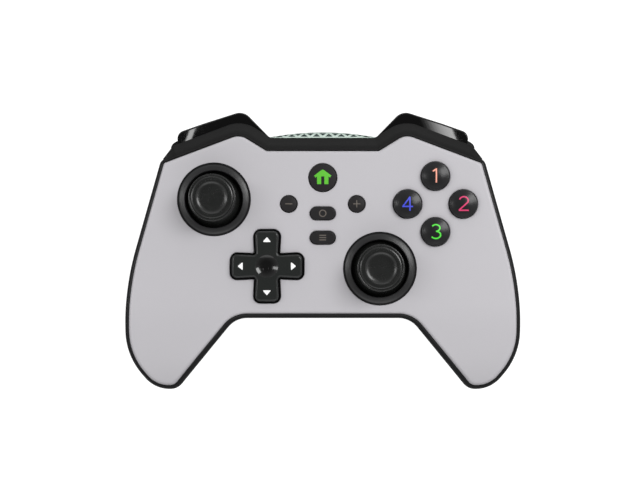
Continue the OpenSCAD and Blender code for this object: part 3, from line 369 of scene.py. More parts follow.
def revolve_skin(profile: Array, centre: Point, steps: int = 128, ring: bool = False) -> Skin:
    """Turns a profile into a closed body.

    Args:
        profile: Profile points, from the axis to the axis, or a closed loop for a ring.
        centre: Place of the axis.
        steps: Points of each circle.
        ring: Whether the profile is a closed loop.

    Returns:
        A closed skin.
    """
    return grid_skin(turned(profile, centre, steps), along=ring).welded().outward()


def filled(outer: Array, holes: list[Array], extra: Array) -> tuple[Array, Array]:
    """Triangulates the plane region between an outer loop and its holes.

    Args:
        outer: Outer loop.
        holes: Loops that are left out.
        extra: Further points inside the region.

    Returns:
        Plane points and triangles that face up.
    """
    loops = [outer, *holes]
    edges, start = [], 0
    for loop in loops:
        n = np.arange(len(loop))
        edges.append(np.stack([n, (n + 1) % len(loop)], axis=1) + start)
        start += len(loop)
    points = [Vector(p) for p in np.vstack([*loops, extra]).tolist()]
    result = delaunay_2d_cdt(points, np.vstack(edges).tolist(), [], INSIDE_LOOPS, 1e-6)
    flat, triangles = np.array([p[:] for p in result[0]]), np.array(result[2])
    middles = flat[triangles].mean(axis=1)
    covered = np.any([inside(middles, hole, 0.0) for hole in holes], axis=0)
    return flat, triangles[~covered]


def stroke_skin(path: Array, width: float, height: Callable[[Array], Array], lift: float = 0.03,
                depth: float = 0.12) -> Skin:
    """A flat stroke along a plane path, laid on a surface and raised a little above it.

    Each station has four corners: half the width to either side along the path's normal, at the
    surface's height plus the lift and at that less the depth.

    Args:
        path: Plane points of the stroke's middle line.
        width: Width of the stroke.
        height: Height of the surface at given plane points.
        lift: Rise above the surface.
        depth: Thickness below the top.

    Returns:
        A closed skin.
    """
    heading = np.gradient(path, axis=0)
    heading /= np.linalg.norm(heading, axis=1, keepdims=True)
    aside = np.stack([-heading[:, 1], heading[:, 0]], axis=1) * width / 2
    left, right = path + aside, path - aside
    top_l, top_r = height(left) + lift, height(right) + lift
    corners = [raised(left, top_l), raised(right, top_r), raised(right, top_r - depth),
               raised(left, top_l - depth)]
    return loft_skin(np.stack(corners, axis=1))


def marks_piece(name: str, paths: list[Array], at: Point, width: float,
                height: Callable[[Array], Array]) -> bpy.types.Object:
    """Lays the printed strokes of a mark on a surface.

    Args:
        name: Name of the piece that carries the mark.
        paths: Middle lines of the strokes, about the mark's own middle.
        at: Plane place of that middle.
        width: Width of the strokes.
        height: Height of the surface at given plane points.

    Returns:
        The strokes as one piece.
    """
    skins = [stroke_skin(path + np.array(at), width, height) for path in paths]
    return skins[0].plus(*skins[1:]).piece(f"{name}_mark")


def line(a: Point, b: Point, steps: int = 8) -> Array:
    """Plane points of a straight line."""
    return mix(np.array(a), np.array(b), np.linspace(0, 1, steps + 1)[:, None])


def arc(centre: Point, radii: Point, start: float, end: float, steps: int = 24) -> Array:
    """Plane points of an ellipse's arc between two angles in degrees."""
    a = np.radians(np.linspace(start, end, steps + 1))
    return np.array(centre) + np.array(radii) * np.stack([np.cos(a), np.sin(a)], axis=1)


def slot_outline(half: float, y: float, r: float) -> Array:
    """Two half circles about (half, y) and (-half, y), joined by straight sides."""
    return np.vstack([arc((half, y), (r, r), -90, 90), arc((-half, y), (r, r), 90, 270)])


class Way(Enum):
    """What a closed skin does to a mesh, by Blender's name of it."""

    TAKE_OFF = "DIFFERENCE"
    JOIN = "UNION"


def cut(target: bpy.types.Object, tool: Skin, way: Way = Way.TAKE_OFF) -> None:
    """Cuts a mesh with a closed skin, or joins them, and keeps the result.

    Args:
        target: Object whose mesh is changed.
        tool: Closed skin that cuts or is joined on.
        way: Which of the two it does.
    """
    helper = tool.piece("cutter")
    modifier = target.modifiers.new("cut", "BOOLEAN")
    modifier.operation = way.value
    modifier.solver = "MANIFOLD"
    modifier.object = helper
    result = bpy.data.meshes.new_from_object(target.evaluated_get(bpy.context.evaluated_depsgraph_get()))
    target.modifiers.clear()
    spent = target.data
    target.data = result
    bpy.data.meshes.remove(spent)
    bpy.data.meshes.remove(helper.data)


def smooth(obj: bpy.types.Object, sharp_deg: float = 35.0) -> None:
    """Shades a mesh smooth, apart from edges that turn by more than an angle."""
    obj.data.shade_smooth()
    obj.data.set_sharp_from_angle(angle=math.radians(sharp_deg))


# Face outline, shared by the covers and the shoulder strip

@dataclass(frozen=True)
class Outline:
    """The pad's face outline: corners of the right half with their roundings, and the levels along it."""

    corners: tuple[Place, ...] = (
        (35.3, -24.8, 12.0), (59.2, -53.4, 3.8), (66.4, -53.4, 10.0), (76.1, -40.9, 26.0),
        (76.1, -14.4, 110.0), (62.3, 34.2, 1.5), (32.5, 45.4, 6.5), (22.06, 38.95, 1.2))
    # corners at the shoulder's outer end, at its peak and at the bridge
    END, PEAK, BRIDGE = 5, 6, 7
    face_z: float = 40.0
    bend_y: float = -21.4
    bend_r: float = 60.0
    saddle: float = 5.0
    foot_cut: float = 0.6
    even_shares: int = 150

    def __post_init__(self) -> None:
        """Works out where every offset of the outline is sampled, from the outline itself."""
        base = self.half_chain(0.0)
        steps = np.array(self._steps())
        first = 1 + np.concatenate([[0], np.cumsum(steps[:-1] + 1)])
        last = first + steps
        along = np.concatenate([[0], np.cumsum(np.linalg.norm(np.diff(base, axis=0), axis=1))])
        total = along[-1]
        tip_in = (along[last[0]] + along[first[1]]) / 2
        tip_out = along[last[3]]
        low = along[first[0]:last[0] + 1] / tip_in
        top = (total - along[first[4]:last[7] + 1]) / (total - tip_out)
        even = np.linspace(0, 1, self.even_shares + 1)
        shares = np.unique(np.round(np.concatenate([low, top, even]), 4))
        grip = np.unique(np.concatenate([along[first[1]:last[3]], np.linspace(tip_in, tip_out, 90)[1:-1]]))
        places = {"low": shares * tip_in, "tip": grip, "top": total - shares * (total - tip_out)}
        object.__setattr__(self, "shares", shares)
        object.__setattr__(self, "places", {k: self._locate(along, s) for k, s in places.items()})
        object.__setattr__(self, "spine", (self._at(base, "low") + self._at(base, "top")) / 2)

    def _steps(self) -> list[int]:
        """Pieces of each corner's arc, by its turn and its length.

        Returns:
            The number for each corner.
        """
        pts = self._sharp()
        turns = [math.acos(np.clip(unit(b - a) @ unit(c - b), -1, 1))
                 for a, b, c in zip(pts, pts[1:], pts[2:])]
        return [max(4, math.ceil(t / math.radians(5)), math.ceil(t * c[2] / 2))
                for t, c in zip(turns, self.corners)]

    def _sharp(self) -> Array:
        """Sharp corners of the right half, with the two middles at its ends."""
        c = np.array(self.corners)[:, :2]
        return np.vstack([[0, c[0, 1]], c, [0, c[-1, 1]]])

    @staticmethod
    def _locate(along: Array, s: Array) -> tuple[Array, Array]:
        """Finds run lengths on the chain, as a segment's number and the share of it."""
        j = np.clip(np.searchsorted(along, s + 1e-9, side="right") - 1, 0, len(along) - 2)
        return j, ((s - along[j]) / np.maximum(along[j + 1] - along[j], 1e-6))[:, None]

    def _at(self, chain: Array, part: str) -> Array:
        """Points of a chain at the sampled places of one part."""
        j, f = self.places[part]
        return mix(chain[j], chain[j + 1], f)

    def half_chain(self, offset: float) -> Array:
        """Right half of the outline from the lower to the upper middle, moved out by an offset.

        Args:
            offset: Distance out.

        Returns:
            Plane points, shape (n, 2).
        """
        pts = self._sharp()
        arcs = [corner_arc(a, b, c, corner[2], offset, n)
                for a, b, c, corner, n in zip(pts, pts[1:], pts[2:], self.corners, self._steps())]
        return np.vstack([pts[0] - [0, offset], *arcs, pts[-1] + [0, offset]])

    def _whole(self, low: Array, tip: Array, top: Array) -> Array:
        """Strings the parts of the right half and their mirror images into one ring.

        Args:
            low: Rows along the lower side, from the middle.
            tip: Rows round the grip.
            top: Rows along the upper side, from the middle.

        Returns:
            The ring's rows.
        """
        flip = np.array([-1.0, 1.0]) if low.shape[1] == 2 else np.ones(1)
        left = [top[1:] * flip, tip[::-1] * flip, low[:0:-1] * flip]
        return np.vstack([low, tip, top[::-1], *left])

    def ring(self, offset: float) -> Array:
        """The whole outline moved out by an offset, anticlockwise from the lower middle."""
        chain = self.half_chain(offset)
        return self._whole(self._at(chain, "low"), self._at(chain, "tip"), self._at(chain, "top"))

    def spine_ring(self) -> Array:
        """For each point of a ring, the point of the spine midway between the upper and the lower side."""
        tip = np.repeat(self.spine[-1:], len(self.places["tip"][0]), axis=0)
        return self._whole(self.spine, tip, self.spine)

    def share_ring(self) -> Array:
        """For each point of a ring, the share of the way along the spine from the middle to the grip."""
        tip = np.ones((len(self.places["tip"][0]), 1))
        return self._whole(self.shares[:, None], tip, self.shares[:, None])[:, 0]

    def drop(self, y: Array) -> Array:
        """How far the face has bent down at y: an arc of the bend's radius below the bend's start."""
        below = np.maximum(self.bend_y - y, 0)
        return self.bend_r - np.sqrt(self.bend_r**2 - below**2)

    def at_face(self, plane: Array, dz: float) -> Array:
        """Plane points set at a distance above or below the bent face."""
        return raised(plane, self.face_z - self.drop(plane[..., 1]) + dz)

    def back_z(self, share: Array) -> Array:
        """Height of the back along the spine: a squared sine lifts it between the belly and each grip."""
        return self.saddle * np.sin(np.pi * share)**2 - self.foot_cut

    def along_rim(self, profile: Array) -> Array:
        """Carries a profile of (offset, height below the face) round the outline, one row for each point."""
        return np.stack([self.at_face(self.ring(o), dz) for o, dz in profile])

    def corner(self, number: int) -> Array:
        """Plane place of a sharp corner."""
        return np.array(self.corners[number][:2])

    @property
    def peak(self) -> Array:
        """The shoulder peak."""
        return self.corner(self.PEAK)

    @property
    def slope_dir(self) -> Array:
        """Direction from the peak down the shoulder."""
        return unit(self.corner(self.END) - self.peak)

    @property
    def slope_out(self) -> Array:
        """Direction out of the shoulder."""
        return -right_of(self.slope_dir)

    @property
    def slope_len(self) -> float:
        """Length of the shoulder."""
        return float(np.linalg.norm(self.corner(self.END) - self.peak))

    @property
    def diag_dir(self) -> Array:
        """Direction from the peak down to the bridge."""
        return unit(self.corner(self.BRIDGE) - self.peak)

    @property
    def diag_out(self) -> Array:
        """Direction out of the short diagonal."""
        return right_of(self.diag_dir)

    def on_slope(self, t: float, o: float) -> Array:
        """Place along the shoulder from the peak, and out from the face."""
        return self.peak + t * self.slope_dir + o * self.slope_out

    def on_diag(self, t: float, o: float) -> Array:
        """Place along the diagonal from the peak, and out from the face."""
        return self.peak + t * self.diag_dir + o * self.diag_out

    def at_peak(self, o: float) -> Array:
        """The peak moved out along its mitre."""
        return self.peak + o * mitre(self.slope_out, self.diag_out)

    def at_bridge(self, o: float) -> Array:
        """The bridge's corner moved out along its mitre."""
        return self.corner(self.BRIDGE) + o * mitre(self.diag_out, np.array([0.0, 1.0]))

    def shoulder(self, skin: Skin, side: Side) -> Skin:
        """Sets a skin from the shoulder's own directions (along, out, up) on one side of the pad.

        Args:
            skin: Skin in the shoulder's directions.
            side: Side of the pad.

        Returns:
            The placed skin.
        """
        middle = self.on_slope(self.slope_len / 2 - 1.2, 0.0)
        p = skin.points
        plane = middle + p[:, :1] * self.slope_dir + p[:, 1:2] * self.slope_out
        return Skin(raised(plane, p[:, 2]), skin.faces).mirrored(side)


# Finishes

def linear(red: int, green: int, blue: int) -> Colour:
    """A screen colour as linear light: the power curve above a small value, a straight line below it.

    Args:
        red: Red level, 0 to 255.
        green: Green level.
        blue: Blue level.

    Returns:
        Linear colour with full alpha.
    """
    c = np.array([red, green, blue]) / 255
    lit = np.where(c <= 0.04045, c / 12.92, ((c + 0.055) / 1.055)**2.4)
    return (float(lit[0]), float(lit[1]), float(lit[2]), 1.0)


class Nodes:
    """Short ways to place and join shader nodes in one tree."""

    def __init__(self, tree: bpy.types.NodeTree) -> None:
        """Takes the tree to work in."""
        self.tree = tree

    def wire(self, node: bpy.types.Node, inputs: dict[str | int, object]) -> None:
        """Gives named or numbered inputs of a node their values, or links them to output sockets.

        Args:
            node: Node whose inputs are set.
            inputs: A value or an output socket for each input.
        """
        for key, value in inputs.items():
            if isinstance(value, Socket):
                self.tree.links.new(value, node.inputs[key])
            else:
                node.inputs[key].default_value = value

    def add(self, kind: str, inputs: dict[str | int, object] | None = None,
            **settings: object) -> bpy.types.Node:
        """Places a node, with its settings and its input values or links.

        Args:
            kind: Blender's name of the node type.
            inputs: A value or an output socket for each named or numbered input.
            settings: Attributes of the node.

        Returns:
            The new node.
        """
        node = self.tree.nodes.new(kind)
        for name, value in settings.items():
            setattr(node, name, value)
        self.wire(node, inputs or {})
        return node

    def math(self, operation: str, a: object, b: object = 0.0) -> Socket:
        """The output of a Math node with two inputs."""
        return self.add("ShaderNodeMath", {0: a, 1: b}, operation=operation).outputs[0]

    def fit(self, value: object, low: float, high: float, to_low: object, to_high: object) -> Socket:
        """Carries a value from one range to another and clamps it."""
        wired = {"Value": value, "From Min": low, "From Max": high, "To Min": to_low, "To Max": to_high}
        return self.add("ShaderNodeMapRange", wired).outputs["Result"]

    def noise(self, where: Socket, scale: object, detail: float) -> Socket:
        """Noise between 0 and 1, mostly near a half."""
        wired = {"Vector": where, "Scale": scale, "Detail": detail}
        return self.add("ShaderNodeTexNoise", wired).outputs["Fac"]

    def swing(self, noise: Socket, amount: object) -> Socket:
        """Noise that swings about zero by up to an amount."""
        return self.math("MULTIPLY", self.math("MULTIPLY", self.math("SUBTRACT", noise, 0.5), amount), 2.0)

    def blend(self, share: object, first: object, last: object) -> Socket:
        """A colour that goes from the first to the last as the share goes from 0 to 1."""
        wired = {"Factor": share, 6: first, 7: last}
        return self.add("ShaderNodeMix", wired, data_type="RGBA").outputs[2]


class Effect(Enum):
    """Shader groups that several finishes share."""

    GRAIN = "moulded_grain"
    HANDLING = "handling_marks"
    LATTICE = "triangle_lattice"


class EffectShelf:
    """Builds each shared shader group once and hands it out."""

    def __init__(self) -> None:
        """Starts with no groups made."""
        self.made: dict[Effect, bpy.types.NodeTree] = {}

    def group(self, effect: Effect) -> bpy.types.NodeTree:
        """The group of an effect, built at its first use.

        Args:
            effect: Which group it is.

        Returns:
            The group's tree.
        """
        if effect not in self.made:
            build = {Effect.GRAIN: self._grain, Effect.HANDLING: self._handling,
                     Effect.LATTICE: self._lattice}
            self.made[effect] = build[effect]()
        return self.made[effect]

    @staticmethod
    def _start(effect: Effect, inputs: dict[str, object], outputs: tuple[str, ...]
               ) -> tuple[Nodes, bpy.types.NodeOutputs, bpy.types.Node]:
        """Makes an empty group with named sockets.

        Args:
            effect: Which group it is.
            inputs: First value of each input: a number, a vector or a colour, by its size.
            outputs: Names of the outputs, all numbers apart from Color.

        Returns:
            The group's node helper, the sockets of its inputs and its output node.
        """
        kinds = {1: "NodeSocketFloat", 3: "NodeSocketVector", 4: "NodeSocketColor"}
        tree = bpy.data.node_groups.new(effect.value, "ShaderNodeTree")
        for name, value in inputs.items():
            kind = kinds[np.size(value)]
            tree.interface.new_socket(name, in_out="INPUT", socket_type=kind).default_value = value
        for name in outputs:
            tree.interface.new_socket(name, in_out="OUTPUT", socket_type=kinds[4 if name == "Color" else 1])
        nodes = Nodes(tree)
        return nodes, nodes.add("NodeGroupInput").outputs, nodes.add("NodeGroupOutput")

    def _grain(self) -> bpy.types.NodeTree:
        """Moulded grain: fine noise for height, broad noise for tint, middling noise for roughness.

        Returns:
            The group's tree.
        """
        nodes, given, out = self._start(
            Effect.GRAIN, {"Base": (0.5, 0.5, 0.5, 1), "Tint": 0.05, "Roughness": 0.5, "Spread": 0.06,
                           "Grain Scale": 2500.0}, ("Color", "Roughness", "Height"))
        where = nodes.add("ShaderNodeTexCoord").outputs["Object"]
        broad, middling = nodes.noise(where, 22.0, 3.0), nodes.noise(where, 160.0, 4.0)
        fine = nodes.noise(where, given["Grain Scale"], 2.0)
        pits = nodes.add("ShaderNodeTexVoronoi", {"Vector": where, "Scale": given["Grain Scale"]})
        light = nodes.math("ADD", 1.0, nodes.swing(broad, given["Tint"]))
        toned = nodes.add("ShaderNodeVectorMath", {0: given["Base"], "Scale": light}, operation="SCALE")
        rough = nodes.math("ADD", given["Roughness"], nodes.swing(middling, given["Spread"]))
        height = nodes.math("ADD", fine, nodes.math("MULTIPLY", pits.outputs["Distance"], 0.6))
        nodes.wire(out, {"Color": toned.outputs[0], "Roughness": rough, "Height": height})
        return nodes.tree

    def _handling(self) -> bpy.types.NodeTree:
        """Handling marks: soft blotches where fingers dull a gloss, and sparse fine dust as small spots.

        Returns:
            The group's tree.
        """
        nodes, given, out = self._start(
            Effect.HANDLING, {"Roughness": 0.08, "Dulled": 0.2, "Base": (0.01, 0.01, 0.01, 1),
                              "Dust": (0.05, 0.05, 0.05, 1)}, ("Color", "Roughness", "Height"))
        where = nodes.add("ShaderNodeTexCoord").outputs["Object"]
        blot, ripple = nodes.noise(where, 70.0, 5.0), nodes.noise(where, 90.0, 1.0)
        specks = nodes.add("ShaderNodeTexVoronoi", {"Vector": where, "Scale": 420.0}).outputs["Distance"]
        rough = nodes.fit(blot, 0.5, 0.72, given["Roughness"], given["Dulled"])
        colour = nodes.blend(nodes.fit(specks, 0.0, 0.09, 0.5, 0.0), given["Base"], given["Dust"])
        nodes.wire(out, {"Color": colour, "Roughness": rough, "Height": ripple})
        return nodes.tree

    def _lattice(self) -> bpy.types.NodeTree:
        """Triangle lattice on a window's own map, where a side and a row are one long.

        The lines are v, u - v/2 and u + v/2 at whole numbers. The distance to the nearest of them
        is a third in the middle of each triangle, and its cell shows where that is above a level.

        Returns:
            The group's tree.
        """
        nodes, given, out = self._start(
            Effect.LATTICE, {"Map": (0.0, 0.0, 0.0), "Level": 0.13}, ("Cells",))
        parts = nodes.add("ShaderNodeSeparateXYZ", {0: given["Map"]}).outputs
        lean = nodes.math("MULTIPLY", parts["Y"], 0.5)
        nearest: object = 1.0
        for across in (parts["Y"], nodes.math("SUBTRACT", parts["X"], lean),
                       nodes.math("ADD", parts["X"], lean)):
            share = nodes.math("FRACT", nodes.math("ADD", across, 0.5))
            off_line = nodes.math("ABSOLUTE", nodes.math("SUBTRACT", share, 0.5))
            nearest = nodes.math("MINIMUM", nearest, off_line)
        above = nodes.math("SUBTRACT", nearest, given["Level"])
        nodes.wire(out, {"Cells": nodes.fit(above, -0.01, 0.02, 0.0, 1.0)})
        return nodes.tree


EFFECTS = EffectShelf()


@dataclass(frozen=True)
class Finish:
    """A finish of the pad, by the name of its slot in the record."""

    slot: str

    def nodes(self, nodes: Nodes, shader: bpy.types.Node) -> bpy.types.Node:
        """Wires the finish into a material's shader, and returns the node of its effect."""
        raise NotImplementedError

    @staticmethod
    def wear(nodes: Nodes, shader: bpy.types.Node, effect: Effect, depth: float,
             values: dict[str, object]) -> bpy.types.Node:
        """Wires a shared effect into a shader, as its colour, its roughness and its bump.

        Args:
            nodes: Helper of the material's tree.
            shader: The material's shader.
            effect: The shared effect.
            depth: Depth of the bump in metres.
            values: The effect's own inputs.

        Returns:
            The effect's node.
        """
        group = nodes.add("ShaderNodeGroup", values, node_tree=EFFECTS.group(effect))
        bump = nodes.add("ShaderNodeBump", {"Height": group.outputs["Height"], "Strength": 1.0,
                                            "Distance": depth})
        nodes.wire(shader, {"Base Color": group.outputs["Color"], "Roughness": group.outputs["Roughness"],
                            "Normal": bump.outputs["Normal"]})
        return group

    def material(self) -> bpy.types.Material:
        """The finish's material, made at its first use.

        Returns:
            The material.
        """
        found = bpy.data.materials.get(f"finish_{self.slot}")
        if found:
            return found
        made = bpy.data.materials.new(f"finish_{self.slot}")
        made.use_nodes = True
        self.nodes(Nodes(made.node_tree), made.node_tree.nodes["Principled BSDF"])
        return made

    def put_on(self, obj: bpy.types.Object) -> None:
        """Makes the finish an object's only material."""
        obj.data.materials.clear()
        obj.data.materials.append(self.material())


@dataclass(frozen=True)
class Moulded(Finish):
    """Moulded plastic or rubber with a fine grain."""

    base: Colour = (0.5, 0.5, 0.5, 1.0)
    roughness: float = 0.5
    tint: float = 0.04
    spread: float = 0.05
    grain_scale: float = 2600.0
    grain_depth: float = 0.000012
    specular: float = 0.5

    def nodes(self, nodes: Nodes, shader: bpy.types.Node) -> bpy.types.Node:
        """Tints, roughens and pits the surface with the shared grain.

        Args:
            nodes: Helper of the material's tree.
            shader: The material's shader.

        Returns:
            The effect's node.
        """
        nodes.wire(shader, {"Specular IOR Level": self.specular})
        return self.wear(nodes, shader, Effect.GRAIN, self.grain_depth, {
            "Base": self.base, "Tint": self.tint, "Roughness": self.roughness, "Spread": self.spread,
            "Grain Scale": self.grain_scale})


@dataclass(frozen=True)
class Gloss(Finish):
    """Polished plastic with soft handling marks and a little dust."""

    base: Colour = (0.01, 0.01, 0.01, 1.0)
    dust: Colour = (0.03, 0.03, 0.03, 1.0)
    roughness: float = 0.06
    dulled: float = 0.16
    ripple: float = 0.000006

    def nodes(self, nodes: Nodes, shader: bpy.types.Node) -> bpy.types.Node:
        """Dulls the polish in blotches and dusts the colour.

        Args:
            nodes: Helper of the material's tree.
            shader: The material's shader.

        Returns:
            The effect's node.
        """
        return self.wear(nodes, shader, Effect.HANDLING, self.ripple, {
            "Base": self.base, "Dust": self.dust, "Roughness": self.roughness, "Dulled": self.dulled})


@dataclass(frozen=True)
class Metal(Moulded):
    """Bare metal with fine tool marks."""

    def nodes(self, nodes: Nodes, shader: bpy.types.Node) -> bpy.types.Node:
        """Adds the metal's own reflection to the shared grain."""
        nodes.wire(shader, {"Metallic": 1.0})
        return super().nodes(nodes, shader)


@dataclass(frozen=True)
class Printed(Moulded):
    """Ink of a printed mark, which gives off its own colour as a painted glow where its glow is above zero.
    """

    # Painted glow: the ink gives off its own colour as light.
    glow: float = 0.0

    def nodes(self, nodes: Nodes, shader: bpy.types.Node) -> bpy.types.Node:
        """Lets the ink's own colour shine as a painted glow.

        Args:
            nodes: Helper of the material's tree.
            shader: The material's shader.

        Returns:
            The effect's node.
        """
        grain = super().nodes(nodes, shader)
        nodes.wire(shader, {"Emission Color": grain.outputs["Color"], "Emission Strength": self.glow})
        return grain


@dataclass(frozen=True)
class LatticeWindow(Moulded):
    """Milky window with a lattice of dark triangles moulded into it, and a faint painted glow."""

    dark: Colour = (0.03, 0.05, 0.045, 1.0)
    # Painted glow of the window, which stands in for light on it.
    glow: float = 0.25

    def nodes(self, nodes: Nodes, shader: bpy.types.Node) -> bpy.types.Node:
        """Paints the triangles over the milky body, which gives off a faint painted glow between them.

        Args:
            nodes: Helper of the material's tree.
            shader: The material's shader.

        Returns:
            The effect's node.
        """
        grain = super().nodes(nodes, shader)
        where = nodes.add("ShaderNodeUVMap", uv_map=WINDOW_MAP).outputs["UV"]
        lattice = nodes.add("ShaderNodeGroup", {"Map": where}, node_tree=EFFECTS.group(Effect.LATTICE))
        colour = nodes.blend(lattice.outputs["Cells"], grain.outputs["Color"], self.dark)
        nodes.wire(shader, {"Base Color": colour, "Emission Color": colour, "Emission Strength": self.glow})
        return grain


FINISHES: dict[str, Finish] = {f.slot: f for f in (
    Moulded("face_plastic", base=linear(186, 184, 188), roughness=0.42, tint=0.02, grain_depth=0.00001),
    Moulded("body_plastic", base=linear(22, 22, 23), roughness=0.42, tint=0.1, grain_depth=0.00002,
            specular=0.25),
    Moulded("strip_plastic", base=linear(28, 28, 28), roughness=0.42, tint=0.08, specular=0.15),
    Gloss("gloss_plastic", base=linear(7, 7, 7), roughness=0.02, dulled=0.03, ripple=0.0000015),
    Moulded("trigger_plastic", base=linear(20, 20, 21), roughness=0.38, tint=0.08, specular=0.3),
    Moulded("ring_plastic", base=linear(30, 30, 31), roughness=0.34, tint=0.06, specular=0.42),
    Moulded("stick_rubber", base=linear(24, 25, 24), roughness=0.27, tint=0.08, grain_depth=0.00001,
            specular=0.5),
    Moulded("cross_plastic", base=linear(34, 36, 35), roughness=0.22, tint=0.06, grain_depth=0.000004,
            specular=0.4),
    Moulded("button_plastic", base=linear(33, 33, 34), roughness=0.25, tint=0.05, grain_depth=0.000004,
            specular=0.26),
    Moulded("oblong_plastic", base=linear(34, 33, 34), roughness=0.4, tint=0.06, specular=0.2),
    # The window's glow is painted glow.
    LatticeWindow("panel_plastic", base=linear(192, 208, 199), roughness=0.18, tint=0.04, glow=0.06),
    Moulded("diffuser_plastic", base=linear(240, 242, 240), roughness=0.6),
    Moulded("membrane_rubber", base=linear(60, 60, 58), roughness=0.7, tint=0.06),
    Moulded("board", base=linear(30, 92, 56), roughness=0.35, tint=0.1),
    Moulded("battery_foil", base=linear(168, 174, 182), roughness=0.3, tint=0.05),
    Metal("steel", base=linear(190, 190, 192), roughness=0.32, tint=0.06, grain_scale=900.0),
    Metal("spring_steel", base=linear(164, 164, 170), roughness=0.3, tint=0.08, grain_scale=1400.0),
    Metal("brass", base=linear(214, 178, 108), roughness=0.3, tint=0.08, grain_scale=900.0),
    Moulded("switch_plastic", base=linear(40, 40, 40), roughness=0.5, tint=0.06),
)}


POLISH = Gloss("polished_cross", base=linear(14, 14, 14), roughness=0.09, dulled=0.14)
# Painted shade: a dark step laid round each stick ring in place of the shadow at its edge.
PAINTED_SHADE_STEP = Moulded("painted_shade_step", base=linear(26, 26, 27), roughness=0.6, tint=0.05, specular=0.1)
BLACK_STEEL = Metal("black_steel", base=linear(44, 44, 46), roughness=0.4, tint=0.06, grain_scale=900.0)
MATTE_BUTTON = Moulded("matte_button", base=linear(33, 31, 32), roughness=0.5, tint=0.05, specular=0.2)


class Ink(Enum):
    """Inks of the printed marks."""

    # Each ink's glow is painted glow: the printed marks give off their own colour as light.
    SALMON = Printed("ink_salmon", base=linear(236, 160, 138), roughness=0.4, glow=0.12)
    BLUE = Printed("ink_blue", base=linear(62, 72, 200), roughness=0.4, glow=0.15)
    RED = Printed("ink_red", base=linear(206, 54, 104), roughness=0.4, glow=0.12)
    GREEN = Printed("ink_green", base=linear(78, 214, 60), roughness=0.4, glow=0.12)
    GLOW_GREEN = Printed("ink_glow_green", base=linear(86, 178, 44), roughness=0.4, glow=0.13)
    WHITE = Printed("ink_white", base=linear(236, 236, 236), roughness=0.4, glow=0.1)
    GREY = Printed("ink_grey", base=linear(104, 97, 90), roughness=0.45, glow=0.0)


def dress(obj: bpy.types.Object, finish: Finish, body: str, slot: str, *nodes: str) -> bpy.types.Object:
    """Gives a finished piece its material and its body, and hides the CAD nodes it stands for.

    Args:
        obj: The piece.
        finish: Its finish.
        body: The CAD body that it rides on.
        slot: The record's material slot; not used.
        nodes: CAD nodes that it replaces.

    Returns:
        The piece.
    """
    finish.put_on(obj)
    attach(obj, body)
    if nodes:
        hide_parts(*nodes)
    LOG.info("%s rides on %s with %d faces", obj.name, body, len(obj.data.polygons))
    return obj


# Sub-assemblies

@dataclass
class Layout:
    """Places and sizes on the face that several sub-assemblies share."""

    sticks: dict[Side, Point] = field(
        default_factory=lambda: {Side.LEFT: (-42.6, 19.9), Side.RIGHT: (22.4, -7.2)})
    ring_r: float = 14.2
    ring_flange: float = 0.9
    cross: Point = (-21.8, -6.3)
    cross_span: float = 27.4
    cross_arm: float = 9.3
    cross_root: float = 4.15
    cross_gap: float = 0.9
    action: Point = (44.1, 18.1)
    action_pitch: float = 10.9
    action_r: float = 5.5
    home: Point = (0.0, 28.4)
    home_r: float = 5.4
    sign: Point = (13.3, 18.1)
    sign_r: float = 3.2
    oblong: Point = (9.7, 4.9)
    oblong_y: Point = (14.4, 4.9)
    button_gap: float = 0.25

    def action_at(self, quarter_turn: int) -> Point:
        """Centre of an action button, by quarter turns from the right.

        Args:
            quarter_turn: Number of quarter turns.

        Returns:
            Plane place of the centre.
        """
        a = math.radians(90 * quarter_turn)
        x, y = self.action
        return (x + self.action_pitch * math.cos(a), y + self.action_pitch * math.sin(a))

    def cross_outline(self, offset: float) -> Array:
        """Outline of the cross, moved out by an offset: one arm's three corners, turned four times.

        Args:
            offset: Distance out.

        Returns:
            Plane points, anticlockwise.
        """
        half, wide = self.cross_span / 2, self.cross_arm / 2
        arm = np.array([[half, -wide], [half, wide], [self.cross_root, self.cross_root]])
        turns = np.radians([0, 90, 180, 270])
        c, s = np.cos(turns)[:, None], np.sin(turns)[:, None]
        x, y = arm[:, 0], arm[:, 1]
        corners = np.stack([x * c - y * s, x * s + y * c], axis=-1).reshape(-1, 2)
        return np.array(self.cross) + closed_outline(corners, np.tile([2.0, 2.0, 1.2], 4), offset, 10)

    def oblong_outline(self, y: float, offset: float) -> Array:
        """Outline of an oblong button: two half circles, moved out by an offset."""
        half, r = (self.oblong[0] - self.oblong[1]) / 2, self.oblong[1] / 2 + offset
        return slot_outline(half, y, r)

    def openings(self) -> list[Callable[[float], Array]]:
        """Every opening in the face, as a loop for a given offset outwards.

        Returns:
            One function for each opening.
        """
        seat = self.ring_r - self.ring_flange + 0.05
        rounds = [(c, seat) for c in self.sticks.values()]
        rounds += [(self.action_at(k), self.action_r + self.button_gap) for k in range(4)]
        rounds.append((self.home, self.home_r + self.button_gap))
        rounds += [((s.value * self.sign[0], self.sign[1]), self.sign_r + self.button_gap) for s in Side]
        loops: list[Callable[[float], Array]] = [lambda o, c=c, r=r: circle(c, r + o) for c, r in rounds]
        loops += [lambda o, y=y: self.oblong_outline(y, self.button_gap + o) for y in self.oblong_y]
        return loops + [lambda o: self.cross_outline(self.cross_gap + o)]


